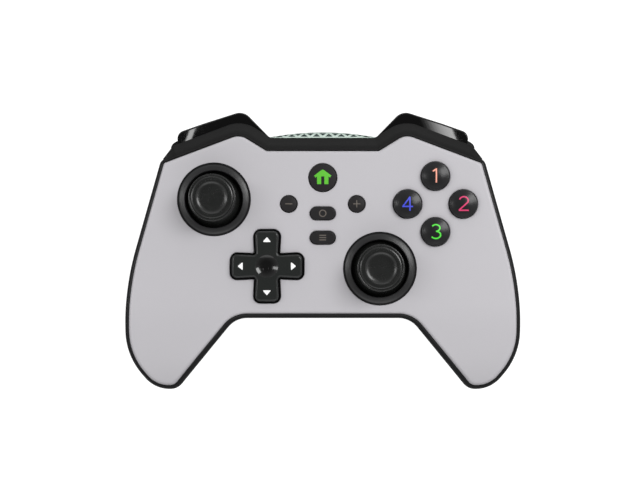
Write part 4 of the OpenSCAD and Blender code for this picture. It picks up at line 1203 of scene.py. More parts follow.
@dataclass
class Faceplate:
    """The light front cover: a bent plate with a rounded edge, a side wall and twelve openings."""

    outline: Outline
    layout: Layout
    wall: float = 2.2
    edge_r: float = 1.2
    skirt: float = 3.0
    skirt_wall: float = 1.8
    hole_edge_r: float = 0.3
    guard: float = 0.2
    mesh_pitch: float = 1.6
    mesh_half: float = 76.0
    mesh_low: float = -52.0

    def _strip(self, loop: Callable[[float], Array], profile: Array) -> Skin:
        """Carries a profile of (offset, height below the face) round a loop that can be moved out."""
        return grid_skin(np.stack([self.outline.at_face(loop(o), dz) for o, dz in profile]))

    def _sheet(self, offset: float, hole_offset: float, dz: float) -> Skin:
        """The plate's flat side between the outline and the openings, with extra points where it bends.

        Args:
            offset: Offset of the sheet's outer edge.
            hole_offset: Offset of its openings.
            dz: Height above the face.

        Returns:
            The sheet, which faces up.
        """
        outer = self.outline.ring(offset)
        x = np.arange(-self.mesh_half, self.mesh_half + 1, self.mesh_pitch)
        y = np.arange(self.mesh_low, self.outline.bend_y + 3, self.mesh_pitch)
        lattice = np.stack(np.meshgrid(x, y), axis=-1).reshape(-1, 2)
        extra = lattice[inside(lattice, outer, self.mesh_pitch / 2)]
        flat, triangles = filled(outer, [loop(hole_offset) for loop in self.layout.openings()], extra)
        return Skin(self.outline.at_face(flat, dz), [triangles])

    def build(self) -> bpy.types.Object:
        """Builds the plate from its two sheets, its rim and the edges of its openings.

        Returns:
            The closed plate.
        """
        lip, low, g = self.hole_edge_r, -self.wall, self.guard
        rim = np.vstack([[-self.edge_r - g, 0], quarter((-self.edge_r, 0), (0, -self.edge_r), 8),
                         [0, -self.skirt], [-self.skirt_wall, -self.skirt], [-self.skirt_wall, low],
                         [-self.skirt_wall - g, low]])
        edge = np.vstack([[lip + g, 0], quarter((lip, 0), (0, -lip), 5), [0, low], [g, low]])
        skin = self._sheet(rim[0, 0], edge[0, 0], 0.0)
        under = self._sheet(rim[-1, 0], edge[-1, 0], low).flipped()
        strips = [self._strip(loop, edge).flipped() for loop in self.layout.openings()]
        strips.insert(0, self._strip(self.outline.ring, rim))
        return skin.plus(under, *strips).welded().piece("faceplate")

    def make(self) -> None:
        """Builds and dresses the front cover."""
        dress(self.build(), FINISHES["face_plastic"], "root", "face_plastic", "front_cover")


@dataclass
class RearBody:
    """The black rear cover: a beaded rim, a back of squared ellipses, trigger bays and screw recesses."""

    outline: Outline
    rim: float = 1.8
    seat_gap: float = 0.2
    rim_drop: float = 4.0
    rim_edge: float = 1.0
    wall: float = 2.6
    skirt: float = 3.05
    squareness: float = 2 / 2.6
    crown_z: float = 34.0
    bay_u: float = -8.0
    bay_top: float = 22.4
    bay_side: float = 14.1
    bay_wall: float = 1.8
    screws: tuple[Point, ...] = ((0, -16), (63, 4), (-63, 4), (61, -42), (-61, -42))
    post_r: float = 3.6
    recess_r: float = 2.5
    recess_z: float = 12.5
    port: Place = (39.35, 22.77, 1.93)
    port_half: float = 2.84
    reach: float = 40.0

    def _back(self, offset: float, lift: float) -> Array:
        """Rings of the back from the rim to the spine.

        Across the body the section is a squared ellipse: the way in goes as 1 - cos(a)^q and the way
        down as sin(a)^q, with q two over the ellipse's exponent.

        Args:
            offset: Distance of the rim from the face's edge.
            lift: Height of the skin above the outer back.

        Returns:
            Rings of shape (rows, points, 3), the last of which lies on the spine.
        """
        a = np.linspace(0, np.pi / 2, 44)[1:, None]
        way_in = 1 - np.cos(a)**self.squareness
        way_in[-1] = 1.0
        way_down = np.sin(a)**self.squareness
        rim = self.outline.at_face(self.outline.ring(offset), -self.rim_drop)
        low = self.outline.back_z(self.outline.share_ring()) + lift
        plane = mix(rim[None, :, :2], self.outline.spine_ring()[None], way_in[..., None])
        return raised(plane, mix(rim[None, :, 2], low[None], way_down))

    def _outer(self) -> Skin:
        """The whole outside, closed over its top.

        Returns:
            The closed skin.
        """
        a = np.linspace(0, np.pi / 2, 10)
        out, down = mix(self.seat_gap, self.rim, np.sin(a)), mix(self.rim_drop, self.rim_edge, np.cos(a))
        bead = np.stack([out, -down], axis=1)
        lid = self.outline.at_face(self.outline.spine_ring(), -self.rim_edge)[None]
        grid = np.concatenate([lid, self.outline.along_rim(bead), self._back(self.rim, 0.0)])
        grid[..., 2] = np.maximum(grid[..., 2], 0.0)
        return grid_skin(grid).welded().outward()

    def _hollow(self) -> Skin:
        """The room inside, open above the seat of the front cover.

        Returns:
            The closed skin.
        """
        inner, above = self.rim - self.wall, 20.0
        mouth = np.array([[self.seat_gap, above], [self.seat_gap, -self.skirt], [inner, -self.skirt],
                          [inner, -self.rim_drop]])
        lid = self.outline.at_face(self.outline.spine_ring(), above)[None]
        grid = np.concatenate([lid, self.outline.along_rim(mouth), self._back(inner, self.wall)])
        return grid_skin(grid).welded().outward()

    def _bay(self, grow: float, side: Side) -> Skin:
        """The block of a trigger's bay in the shoulder's directions, grown by a wall.

        Args:
            grow: Wall added all round.
            side: Side of the pad.

        Returns:
            The closed block.
        """
        half, back, far = self.bay_side + grow, self.bay_u - grow, self.reach
        plan = np.array([[-half, back], [half, back], [half, far], [-half, far]])
        return self.outline.shoulder(prism_skin(plan, -5.0, self.bay_top + grow), side)

    def build(self) -> bpy.types.Object:
        """Cuts the hollow, the bays, the crown, the recesses and the port out of the outside.

        Returns:
            The closed shell.
        """
        hollow = self._hollow().piece("hollow")
        for side in Side:
            cut(hollow, self._bay(self.bay_wall, side))
        for x, y in self.screws:
            cut(hollow, prism_skin(circle((x, y), self.post_r), -2.0, 20.0))
        faces = [np.array([p.vertices[:]]) for p in hollow.data.polygons]
        points = np.array([v.co[:] for v in hollow.data.vertices]) / MM
        bpy.data.meshes.remove(hollow.data)
        body = self._outer().piece("rear_body")
        cut(body, Skin(points, faces))
        for side in Side:
            cut(body, self._bay(0.0, side))
        for x, y in self.screws:
            cut(body, prism_skin(circle((x, y), self.recess_r, 64), -10.0, self.recess_z))
        near, far = (self.outline.on_slope(self.outline.slope_len, o) for o in (-3.0, self.reach))
        flip = np.array([-1.0, 1.0])
        cut(body, prism_skin(np.stack([near, far, far * flip, near * flip]), self.crown_z, 90.0))
        y, z, r = self.port
        tunnel = prism_skin(slot_outline(self.port_half, z, r), -(y + 20.0), -(y - 8.0))
        cut(body, Skin(tunnel.points[:, [0, 2, 1]] * np.array([1.0, -1.0, 1.0]), tunnel.faces).outward())
        smooth(body)
        return body

    def make(self) -> None:
        """Builds and dresses the rear cover."""
        dress(self.build(), FINISHES["body_plastic"], "root", "body_plastic", "rear_cover")


@dataclass
class ShoulderStrip:
    """The matte strip over the shoulders and the bridge, which falls away from the face."""

    outline: Outline
    lip: float = 5.6
    lip_fall: float = 3.9
    lip_t: float = 1.7
    top_z: float = 39.5
    web: float = 1.7
    seat_gap: float = 0.2
    foot_z: float = 34.05
    step_t: float = 26.3
    step_r: float = 0.6
    fold_r: float = 0.8
    end_t: float = 0.2

    def _path(self, end_o: float, o: float) -> Array:
        """The strip's line at an offset, from its outer end over the peak to the middle of the bridge.

        Args:
            end_o: Offset at the outer end.
            o: Offset elsewhere.

        Returns:
            Plane points.
        """
        out = self.outline
        sharp = [out.on_slope(out.slope_len - self.end_t, end_o), out.on_slope(self.step_t, o),
                 out.at_peak(o), out.at_bridge(o), np.array([0.0, out.corner(out.BRIDGE)[1] + o])]
        radii, steps = (self.step_r, out.corners[out.PEAK][2] + o, self.fold_r), (6, 28, 8)
        arcs = [corner_arc(sharp[k], sharp[k + 1], sharp[k + 2], radii[k], 0.0, steps[k]) for k in range(3)]
        return np.vstack([sharp[0], *arcs, sharp[-1]])

    def _section(self) -> Array:
        """The section as (share of the way out, height below the roof, pull to the foot), edges rounded.

        Returns:
            Rows of the section.
        """
        web = (self.web - self.seat_gap) / (self.lip - self.seat_gap)
        nose = quarter((0.94, 0.0), (1.0, 0.45), 5)
        under = quarter((1.0, self.lip_t - 0.3), (0.95, self.lip_t), 4)
        bead = [(0.0, 0.3), (0.008, 0.1), (0.024, -0.06), (0.055, -0.19),
                (0.085, -0.25), (0.11, -0.18), (0.135, 0.0)]
        rows = [(f, d, 0.0) for f, d in bead] + [(0.5, 0.0, 0.0)]
        rows += [(f, d, 0.0) for f, d in nose.tolist()] + [(f, d, 0.0) for f, d in under.tolist()]
        rows += [(web, self.lip_t, 0.0), (web, 0.0, 1.0), (0.0, 0.0, 1.0)]
        return np.array(rows)

    def build(self) -> bpy.types.Object:
        """Carries the section along the strip's line and mirrors it.

        Returns:
            The closed strip.
        """
        inner, edge = self._path(self.seat_gap, self.seat_gap), self._path(self.web + 0.1, self.lip)
        width = np.full(len(edge), self.lip)
        width[0] = self.web + 0.1
        section = self._section()
        share, deep, foot = section[:, 0], section[:, 1], section[:, 2]
        plane = mix(inner[:, None], edge[:, None], share[None, :, None])
        out = self.seat_gap + share[None] * (width[:, None] - self.seat_gap)
        roof = self.top_z - self.lip_fall * (out - self.seat_gap) / (self.lip - self.seat_gap)
        z = np.where(foot[None] > 0, self.foot_z, roof - deep[None])
        right = raised(plane, z)
        left = (right * np.array([-1.0, 1.0, 1.0]))[-2::-1]
        return loft_skin(np.concatenate([right, left])).welded().piece("shoulder_strip", 30.0)

    def make(self) -> None:
        """Builds and dresses the strip."""
        dress(self.build(), FINISHES["strip_plastic"], "root", "strip_plastic", "shoulder_bridge")


@dataclass
class Bumper:
    """A polished shoulder button: a rounded bar under the strip that swings on a stub near the bridge."""

    outline: Outline
    side: Side
    lip: float = 5.6
    show: float = 3.8
    flare: float = 4.9
    length: float = 24.3
    back: float = 3.4
    top_z: float = 33.4
    low_z: float = 24.0
    round_z: float = 4.0
    flat_share: float = 0.86
    tail_run: float = 9.3
    heel_r: float = 3.2
    crest_r: float = 40.0
    nose_r: float = 5.5
    turn_r: float = 2.0

    def _lines(self) -> tuple[Array, Array]:
        """The bar's front line, from its outer end over the peak to the bridge, and its back line.

        Returns:
            Plane points of both lines, equal in number.
        """
        out = self.outline
        show_o, flare_o = self.lip + self.show, self.lip + self.flare
        root = out.on_slope(self.length, self.lip + 0.6)
        heel = out.on_slope(self.length - 0.9, flare_o)
        crest = out.on_slope(self.length / 2, (show_o + flare_o) / 2 + 0.3)
        nose = out.at_peak(show_o)
        tail = out.on_diag(self.tail_run, self.lip + 0.3)
        shoulder = np.vstack([root, corner_arc(root, heel, crest, self.heel_r, 0.0, 16),
                              corner_arc(heel, crest, nose, self.crest_r, 0.0, 10)])
        bend = corner_arc(crest, nose, tail, self.nose_r, 0.0, 20)
        run = (shoulder - out.peak) @ out.slope_dir
        straight = out.peak + run[:, None] * out.slope_dir + self.back * out.slope_out
        turn = corner_arc(out.on_slope(4, self.back), out.at_peak(self.back),
                          out.on_diag(4, self.back), self.turn_r, 0.0, 20)
        back = np.vstack([straight, turn, out.on_diag(self.tail_run - 1.5, self.back)])
        return np.vstack([shoulder, bend, tail]), back

    def build(self) -> bpy.types.Object:
        """Lofts the bar's rounded section between its two lines.

        Returns:
            The closed bar.
        """
        front, back = self._lines()
        flat = self.flat_share
        crown = arc((flat, self.top_z - self.round_z), (1 - flat, self.round_z), 0, 90, 16)
        toe = arc((0.9, self.low_z + 0.8), (0.1, 0.8), -90, 0, 6)
        inner = np.array([flat - 0.01, 0.5 * flat, 0.0])
        top = np.stack([inner, np.full(3, self.top_z)], axis=1)
        profile = np.vstack([[0.0, self.low_z], toe, crown, top])
        plane = mix(back[:, None], front[:, None], profile[None, :, :1])
        sections = raised(plane, np.broadcast_to(profile[:, 1], plane.shape[:2]))
        return loft_skin(sections).mirrored(self.side).piece(f"{self.side.word}_bumper_bar", 40.0)

    def make(self) -> None:
        """Builds and dresses the bumper."""
        name = f"{self.side.word}_bumper"
        dress(self.build(), FINISHES["gloss_plastic"], name, "gloss_plastic", name)


@dataclass
class Trigger:
    """A shoulder trigger: a curved finger shell with rounded ends, and cheeks that carry its pin."""

    outline: Outline
    side: Side
    width: float = 27.0
    thick: float = 2.2
    tip_z: float = 5.6
    top_z: float = 24.0
    round_len: float = 3.5
    round_in: float = 2.2
    cheek_t: float = 2.0
    pin: Point = (-3.2, 17.2)
    hub_r: float = 2.75
    bay_top: float = 22.1

    def _finger(self) -> Array:
        """The finger's outer curve (out, up): a cubic curve from under the bumper down to the tip.

        Returns:
            Points from the top to the tip.
        """
        t = np.linspace(0, 1, 41)[:, None]
        p = np.array([[8.4, self.top_z - 0.8], [9.8, self.top_z - 7], [4.4, self.tip_z + 5.5],
                      [7.6, self.tip_z]])
        return (1 - t)**3 * p[0] + 3 * t * (1 - t)**2 * p[1] + 3 * t**2 * (1 - t) * p[2] + t**3 * p[3]

    def build(self) -> bpy.types.Object:
        """Sweeps the shell along the shoulder, drawn in at its ends, and adds the cheeks.

        Returns:
            The trigger as one piece.
        """
        finger = self._finger()
        tip = np.stack([-self.thick / 2 * (1 - np.cos(np.linspace(0, np.pi, 9))),
                        -0.45 * np.sin(np.linspace(0, np.pi, 9))], axis=1)[1:-1]
        loop = np.vstack([finger, finger[-1] + tip, finger[::-1] - [self.thick, 0]])
        half = self.width / 2
        ends = half - self.round_len * (1 - np.sin(np.linspace(0, np.pi / 2, 10)))
        between = np.linspace(-half + self.round_len, half - self.round_len, 12)[1:-1]
        x = np.concatenate([-ends[::-1], between, ends])
        share = np.clip((np.abs(x) - half + self.round_len) / self.round_len, 0, 1)
        inset = self.round_in * (1 - np.sqrt(1 - share**2))
        out = loop[None, :, 0] - inset[:, None]
        sections = np.stack([np.broadcast_to(x[:, None], out.shape), out,
                             np.broadcast_to(loop[:, 1], out.shape)], axis=-1)
        skins = [loft_skin(sections)]
        hub = arc(self.pin, (self.hub_r, self.hub_r), 200, 90, 10)
        cheek = np.vstack([finger - [self.round_in + 0.1, 0], [1.0, self.tip_z + 1], hub,
                           [3.0, self.bay_top]])
        for start in (-half, half - self.cheek_t):
            slab = prism_skin(cheek, start, start + self.cheek_t)
            skins.append(Skin(slab.points[:, [2, 0, 1]], slab.faces).outward())
        placed = [self.outline.shoulder(s, self.side).outward() for s in skins]
        return placed[0].plus(*placed[1:]).piece(f"{self.side.word}_trigger_shell", 40.0)

    def make(self) -> None:
        """Builds and dresses the trigger."""
        name = f"{self.side.word}_trigger"
        dress(self.build(), FINISHES["trigger_plastic"], name, "trigger_plastic", name)


@dataclass
class LightPanel:
    """The convex window under the bridge, with a triangle lattice."""

    half: float = 21.06
    top_z: float = 33.85
    tall: float = 7.3
    root_y: float = 43.85
    rise: float = 1.5
    bulge: float = 2.0
    thick: float = 1.6
    lattice_side: float = 4.9
    lattice_row: float = 3.0
    lattice_start: float = 1.0

    def build(self) -> bpy.types.Object:
        """Bows the window out in plan as a parabola and rounds it over at its top.

        The window's map gives each point x over a lattice side, and its way along the profile over a row.

        Returns:
            The closed window.
        """
        s = np.linspace(-1, 1, 61)[:, None]
        u = np.concatenate([0.6 * (1 - np.cos(np.linspace(0, np.pi / 2, 20))), np.linspace(0.6, 1, 8)[1:]])
        bow = np.where(u < 0.6, np.sqrt(np.clip(1 - (1 - u / 0.6)**2, 0, 1)), 1 - 0.25 * ((u - 0.6) / 0.4)**2)
        y = self.root_y + (self.rise + self.bulge * (1 - s**2)) * bow[None]
        z = np.broadcast_to(self.top_z - u * self.tall, y.shape)
        x = np.broadcast_to(s * self.half, y.shape)
        front = np.stack([x, y, z], axis=-1)
        rear = (front - np.array([0, self.thick, 0]))[:, ::-1]
        obj = loft_skin(np.concatenate([front, rear], axis=1)).piece("light_window", 40.0)
        steps = np.linalg.norm(np.diff(front, axis=1), axis=2)
        way = np.concatenate([np.zeros((len(s), 1)), np.cumsum(steps, axis=1)], axis=1) - self.lattice_start
        both = np.stack([x / self.lattice_side, way / self.lattice_row], axis=-1)
        spots = np.concatenate([both, both[:, ::-1]], axis=1).reshape(-1, 2)
        corners = np.zeros(len(obj.data.loops), dtype=np.int32)
        obj.data.loops.foreach_get("vertex_index", corners)
        layer = obj.data.uv_layers.new(name=WINDOW_MAP)
        layer.uv.foreach_set("vector", spots[corners].astype(np.float32).ravel())
        return obj

    def make(self) -> None:
        """Builds and dresses the window."""
        dress(self.build(), FINISHES["panel_plastic"], "root", "panel_plastic", "light_panel")


@dataclass
class Thumbstick:
    """A thumbstick with the ring round it: a dished rubber cap on a neck over a dome."""

    layout: Layout
    side: Side
    face_z: float = 40.0
    pivot_z: float = 31.0
    dome_r: float = 12.6
    dome_t: float = 1.2
    dome_gap: float = 0.35
    hole_r: float = 11.2
    cap_r: float = 9.1
    dish_in: float = 2.5
    dish_deep: float = 1.1
    brow_w: float = 1.0
    brow_h: float = 0.5
    bead_w: float = 0.4
    bead_h: float = 0.3
    belly_drop: float = 3.4
    belly_w: float = 1.4
    belly_h: float = 1.6
    cap_top: float = 51.6
    neck_r: float = 4.4
    skirt_deg: float = 80.0
    wall: float = 2.2
    brim_h: float = 0.8
    edge: float = 0.42
    fold_in: float = 0.85
    fold_h: float = 0.46
    step: float = 0.67
    step_h: float = 0.2
    step_edge: float = 0.1

    def ring_shade_step(self) -> bpy.types.Object:
        """The step round the ring, coloured dark as painted shade for the shadow at the ring's edge.

        Returns:
            The closed step.
        """
        lip, f = self.layout.ring_r - self.edge, self.face_z
        outer, inner, top, bevel = lip + self.step, lip - 0.1, f + self.step_h, self.step_edge
        profile = np.array([[outer, f], [outer, top - bevel], [outer - bevel, top], [inner, top], [inner, f]])
        skin = revolve_skin(profile, self.layout.sticks[self.side], ring=True)
        return skin.piece(f"{self.side.word}_ring_edge", 30.0)

    def ring(self) -> bpy.types.Object:
        """The fixed ring: a low collar that slopes out from the opening and folds to a steeper bevel.

        Returns:
            The closed ring.
        """
        outer, f = self.layout.ring_r, self.face_z
        seat, low = outer - self.layout.ring_flange, f - self.wall - 0.8
        mouth = self.pivot_z + math.sqrt((self.dome_r + self.dome_gap)**2 - self.hole_r**2)
        top, lip, hole = f + self.brim_h, outer - self.edge, self.hole_r
        fold = np.array([lip - self.fold_in, f + self.fold_h])
        bevel = np.array([[lip, f], [lip, f + 0.06], [lip - 0.1, f + 0.11]])
        profile = np.vstack([bevel, fold + [0.08, -0.037], fold + [-0.08, 0.019], [hole + 0.4, top - 0.02],
                             quarter((hole + 0.3, top), (hole, top - 0.3), 6), [hole, mouth],
                             [hole + 1.1, low], [seat, low], [seat, f]])
        skin = revolve_skin(profile, self.layout.sticks[self.side], ring=True)
        return skin.piece(f"{self.side.word}_ring", 30.0)

    def cap(self) -> bpy.types.Object:
        """The stick: dish, brow, bead, belly, neck and dome in one turned profile.

        The dish rises as the radius to the eighth power, the brow and the belly are quarter ellipses, and
        the bead at the edge is half an ellipse.

        Returns:
            The closed stick.
        """
        top, edge = self.cap_top, self.cap_r - 2 * self.bead_w - 0.05
        s = 1 - np.linspace(1, 0, 28)**2
        dish = np.stack([(self.cap_r - self.dish_in) * s, top + self.dish_deep * (s**8 - 1)], axis=1)
        brow = quarter((edge - self.brow_w, top), (edge, top - self.brow_h), 10)
        bead = arc((self.cap_r - self.bead_w, top - self.brow_h - 0.15), (self.bead_w, self.bead_h),
                   180, 0, 12)
        a = np.linspace(0, np.pi / 2, 10)
        belly = np.stack([self.cap_r - self.belly_w * (1 - np.cos(a)),
                          top - self.belly_drop - self.belly_h * np.sin(a)], axis=1)
        chin = top - self.belly_drop - self.belly_h
        shoulder = self.pivot_z + math.sqrt(self.dome_r**2 - self.neck_r**2)
        neck = np.array([[self.neck_r + 0.8, chin - 0.6], [self.neck_r, chin - 1.6],
                         [self.neck_r, shoulder + 0.6]])
        start = math.degrees(math.asin(self.neck_r / self.dome_r)) + 3
        dome = arc((0, self.pivot_z), (self.dome_r, self.dome_r), 90 - start, 90 - self.skirt_deg, 24)
        thin = self.dome_r - self.dome_t
        under = arc((0, self.pivot_z), (thin, thin), 90 - self.skirt_deg, 90, 24)
        profile = np.vstack([dish, brow, bead, belly, neck, dome, under])
        profile[-1, 0] = 0.0
        return revolve_skin(profile, self.layout.sticks[self.side]).piece(f"{self.side.word}_stick_cap", 40.0)

    def make(self) -> None:
        """Builds and dresses the ring, its step of painted shade and the stick."""
        word = self.side.word
        dress(self.ring(), FINISHES["ring_plastic"], "root", "ring_plastic", f"{word}_stick_ring")
        # The dark step is painted shade for the shadow round the ring.
        dress(self.ring_shade_step(), PAINTED_SHADE_STEP, "root", "ring_plastic")
        dress(self.cap(), FINISHES["stick_rubber"], f"{word}_stick", "stick_rubber", f"{word}_thumbstick")


@dataclass
class DirectionCross:
    """The rocking cross with a dished middle and an arrow on each arm."""

    layout: Layout
    top_z: float = 42.3
    flange_z: float = 34.75
    flange_t: float = 1.2
    dish_sphere: float = 12.0
    dish_depth: float = 0.85
    dish_edge: float = 0.25
    edge_in: float = 0.8
    edge_down: float = 0.8
    arrow_at: float = 9.4
    arrow_w: float = 3.3
    arrow_h: float = 2.0

    @property
    def dish_r(self) -> float:
        """Radius of the dish at the top of the cross."""
        return math.sqrt(self.dish_sphere**2 - (self.dish_sphere - self.dish_depth)**2)

    def _fall(self, r: Array) -> Array:
        """Depth of the dish at distances from its middle: a part of a sphere."""
        return np.sqrt(self.dish_sphere**2 - r**2) - (self.dish_sphere - self.dish_depth)

    def build(self) -> bpy.types.Object:
        """Builds the cross from its rounded side, its top with a round hole and the dish in that hole.

        Returns:
            The closed cross with its flange.
        """
        dish_r = self.dish_r
        edge = np.vstack([[-self.edge_in - 0.15, self.top_z],
                          quarter((-self.edge_in, self.top_z), (0.0, self.top_z - self.edge_down), 8),
                          [0.0, self.flange_z]])
        sides = grid_skin(np.stack([raised(self.layout.cross_outline(o), z) for o, z in edge]))
        loop, rim = self.layout.cross_outline(edge[0, 0]), circle(self.layout.cross, dish_r + self.dish_edge)
        flat, triangles = filled(loop, [rim], np.zeros((0, 2)))
        top = Skin(raised(flat, self.top_z), [triangles])
        r = np.concatenate([[dish_r + self.dish_edge, dish_r + 0.12], np.linspace(dish_r - 0.05, 0, 16)])
        z = self.top_z - np.maximum(self._fall(np.minimum(r, dish_r)), 0)
        bowl = turned(np.stack([r, z], axis=1), self.layout.cross, len(rim))
        base = Skin(raised(self.layout.cross_outline(0.0), self.flange_z),
                    [np.arange(len(loop))[None, ::-1]])
        body = top.plus(sides, grid_skin(bowl).flipped(), base).welded()
        flange_r = self.layout.cross_span / 2 + self.layout.cross_gap + 1.0
        disc = np.array([[0, self.flange_z + self.flange_t], [flange_r, self.flange_z + self.flange_t],
                         [flange_r, self.flange_z], [0, self.flange_z]])
        return body.plus(revolve_skin(disc, self.layout.cross)).piece("rocking_cross", 40.0)

    def dish(self) -> bpy.types.Object:
        """The polished skin of the dish: a part of a sphere, drawn a little above the cross's own.

        Returns:
            The closed skin.
        """
        r = np.linspace(0, self.dish_r - 0.1, 24)
        fall = self._fall(r)
        upper = np.stack([r, self.top_z - fall + 0.015], axis=1)
        under = np.stack([r, self.top_z - fall - 0.1], axis=1)[::-1]
        return revolve_skin(np.vstack([upper, under]), self.layout.cross).piece("cross_dish")

    def arrows(self) -> bpy.types.Object:
        """Four printed triangles that point out along the arms.

        Returns:
            The marks as one piece.
        """
        w, h = self.arrow_w / 2, self.arrow_h
        corners = np.array([[self.arrow_at + h, 0], [self.arrow_at, w], [self.arrow_at, -w]])
        outline = closed_outline(corners, np.full(3, 0.2), 0.0, 4)
        skins = []
        for k in range(4):
            a = math.radians(90 * k)
            turn = np.array([[math.cos(a), math.sin(a)], [-math.sin(a), math.cos(a)]])
            placed = outline @ turn + np.array(self.layout.cross)
            skins.append(prism_skin(placed, self.top_z - 0.1, self.top_z + 0.03))
        return skins[0].plus(*skins[1:]).piece("cross_arrows")

    def make(self) -> None:
        """Builds and dresses the cross, its polished dish and its arrows."""
        dress(self.build(), FINISHES["cross_plastic"], "cross", "cross_plastic", "direction_cross")
        dress(self.dish(), POLISH, "cross", "cross_plastic")
        dress(self.arrows(), Ink.WHITE.value, "cross", "cross_plastic")


@dataclass
class RoundButton:
    """A round button with a crowned top and a flange under the face."""

    name: str
    centre: Point
    radius: float
    rise: float
    crown: float
    marks: list[Array]
    ink: Ink
    stroke: float = 0.56
    finish: Finish = FINISHES["button_plastic"]
    face_z: float = 40.0
    edge_r: float = 0.5
    flange: float = 1.1
    flange_z: float = 37.6
    stem_r: float = 2.2
    stem_z: float = 30.7

    def height(self, plane: Array) -> Array:
        """Height of the crowned top: it falls with the square of the distance from the middle."""
        r = np.linalg.norm(plane - np.array(self.centre), axis=-1)
        return self.face_z + self.rise - self.crown * (r / (self.radius - self.edge_r))**2

    def build(self) -> bpy.types.Object:
        """Turns the button's profile.

        Returns:
            The closed button.
        """
        r, edge = self.radius, self.radius - self.edge_r
        out, low = r + self.flange, self.flange_z - self.flange
        s = np.linspace(0, 1, 16)
        top = self.face_z + self.rise
        cap = np.stack([edge * s, top - self.crown * s**2], axis=1)
        rim = quarter((edge, top - self.crown), (r, top - self.crown - self.edge_r), 6)[1:]
        foot = np.array([[r, self.flange_z], [out, self.flange_z], [out, low], [self.stem_r, low],
                         [self.stem_r, self.stem_z], [0, self.stem_z]])
        return revolve_skin(np.vstack([cap, rim, foot]), self.centre, 96).piece(f"{self.name}_cap", 40.0)

    def make(self) -> None:
        """Builds and dresses the button and its mark."""
        dress(self.build(), self.finish, self.name, "button_plastic", self.name)
        mark = marks_piece(self.name, self.marks, self.centre, self.stroke, self.height)
        dress(mark, self.ink.value, self.name, "button_plastic")


@dataclass
class OblongButton:
    """A small oblong button with a printed sign."""

    layout: Layout
    name: str
    y: float
    marks: list[Array]
    face_z: float = 40.0
    rise: float = 1.0
    flange: float = 1.1
    flange_z: float = 37.6
    bevel: float = 0.35
    stroke: float = 0.34

    def height(self, plane: Array) -> Array:
        """Height of the flat top."""
        return np.full(len(plane), self.face_z + self.rise)

    def build(self) -> bpy.types.Object:
        """Draws the button's rounded side profile round its outline.

        Returns:
            The closed button.
        """
        top = self.face_z + self.rise
        edge = np.vstack([[-self.bevel - 0.12, top], quarter((-self.bevel, top), (0, top - self.bevel), 6),
                          [0, self.flange_z], [self.flange, self.flange_z],
                          [self.flange, self.flange_z - self.flange]])
        rings = np.stack([raised(self.layout.oblong_outline(self.y, o), z) for o, z in edge])
        return loft_skin(rings).piece(f"{self.name}_cap", 40.0)

    def make(self) -> None:
        """Builds and dresses the button and its sign."""
        dress(self.build(), FINISHES["oblong_plastic"], self.name, "oblong_plastic", self.name)
        mark = marks_piece(self.name, self.marks, (0.0, self.y), self.stroke, self.height)
        dress(mark, Ink.GREY.value, self.name, "oblong_plastic")


class Numeral(Enum):
    """Plain numbers as strokes in a box 4.2 mm wide and 6 mm high, about its middle."""

    ONE = 1
    TWO = 2
    THREE = 3
    FOUR = 4

    def strokes(self) -> list[Array]:
        """The number's middle lines.

        Returns:
            One line for each stroke.
        """
        if self is Numeral.ONE:
            return [line((0.2, -2.7), (0.2, 2.9)), line((0.2, 2.6), (-1.2, 1.7))]
        if self is Numeral.TWO:
            return [arc((0, 1.2), (1.7, 1.5), 165, -38), line((1.3, 0.28), (-1.75, -2.45)),
                    line((-1.95, -2.6), (1.95, -2.6))]
        if self is Numeral.THREE:
            return [arc((0, 1.4), (1.6, 1.3), 150, -90), arc((0, -1.3), (1.85, 1.4), 90, -150)]
        return [line((0.8, -2.8), (0.8, 2.7)), line((0.9, 2.7), (-1.9, -1.0)),
                line((-2.2, -1.1), (2.0, -1.1))]


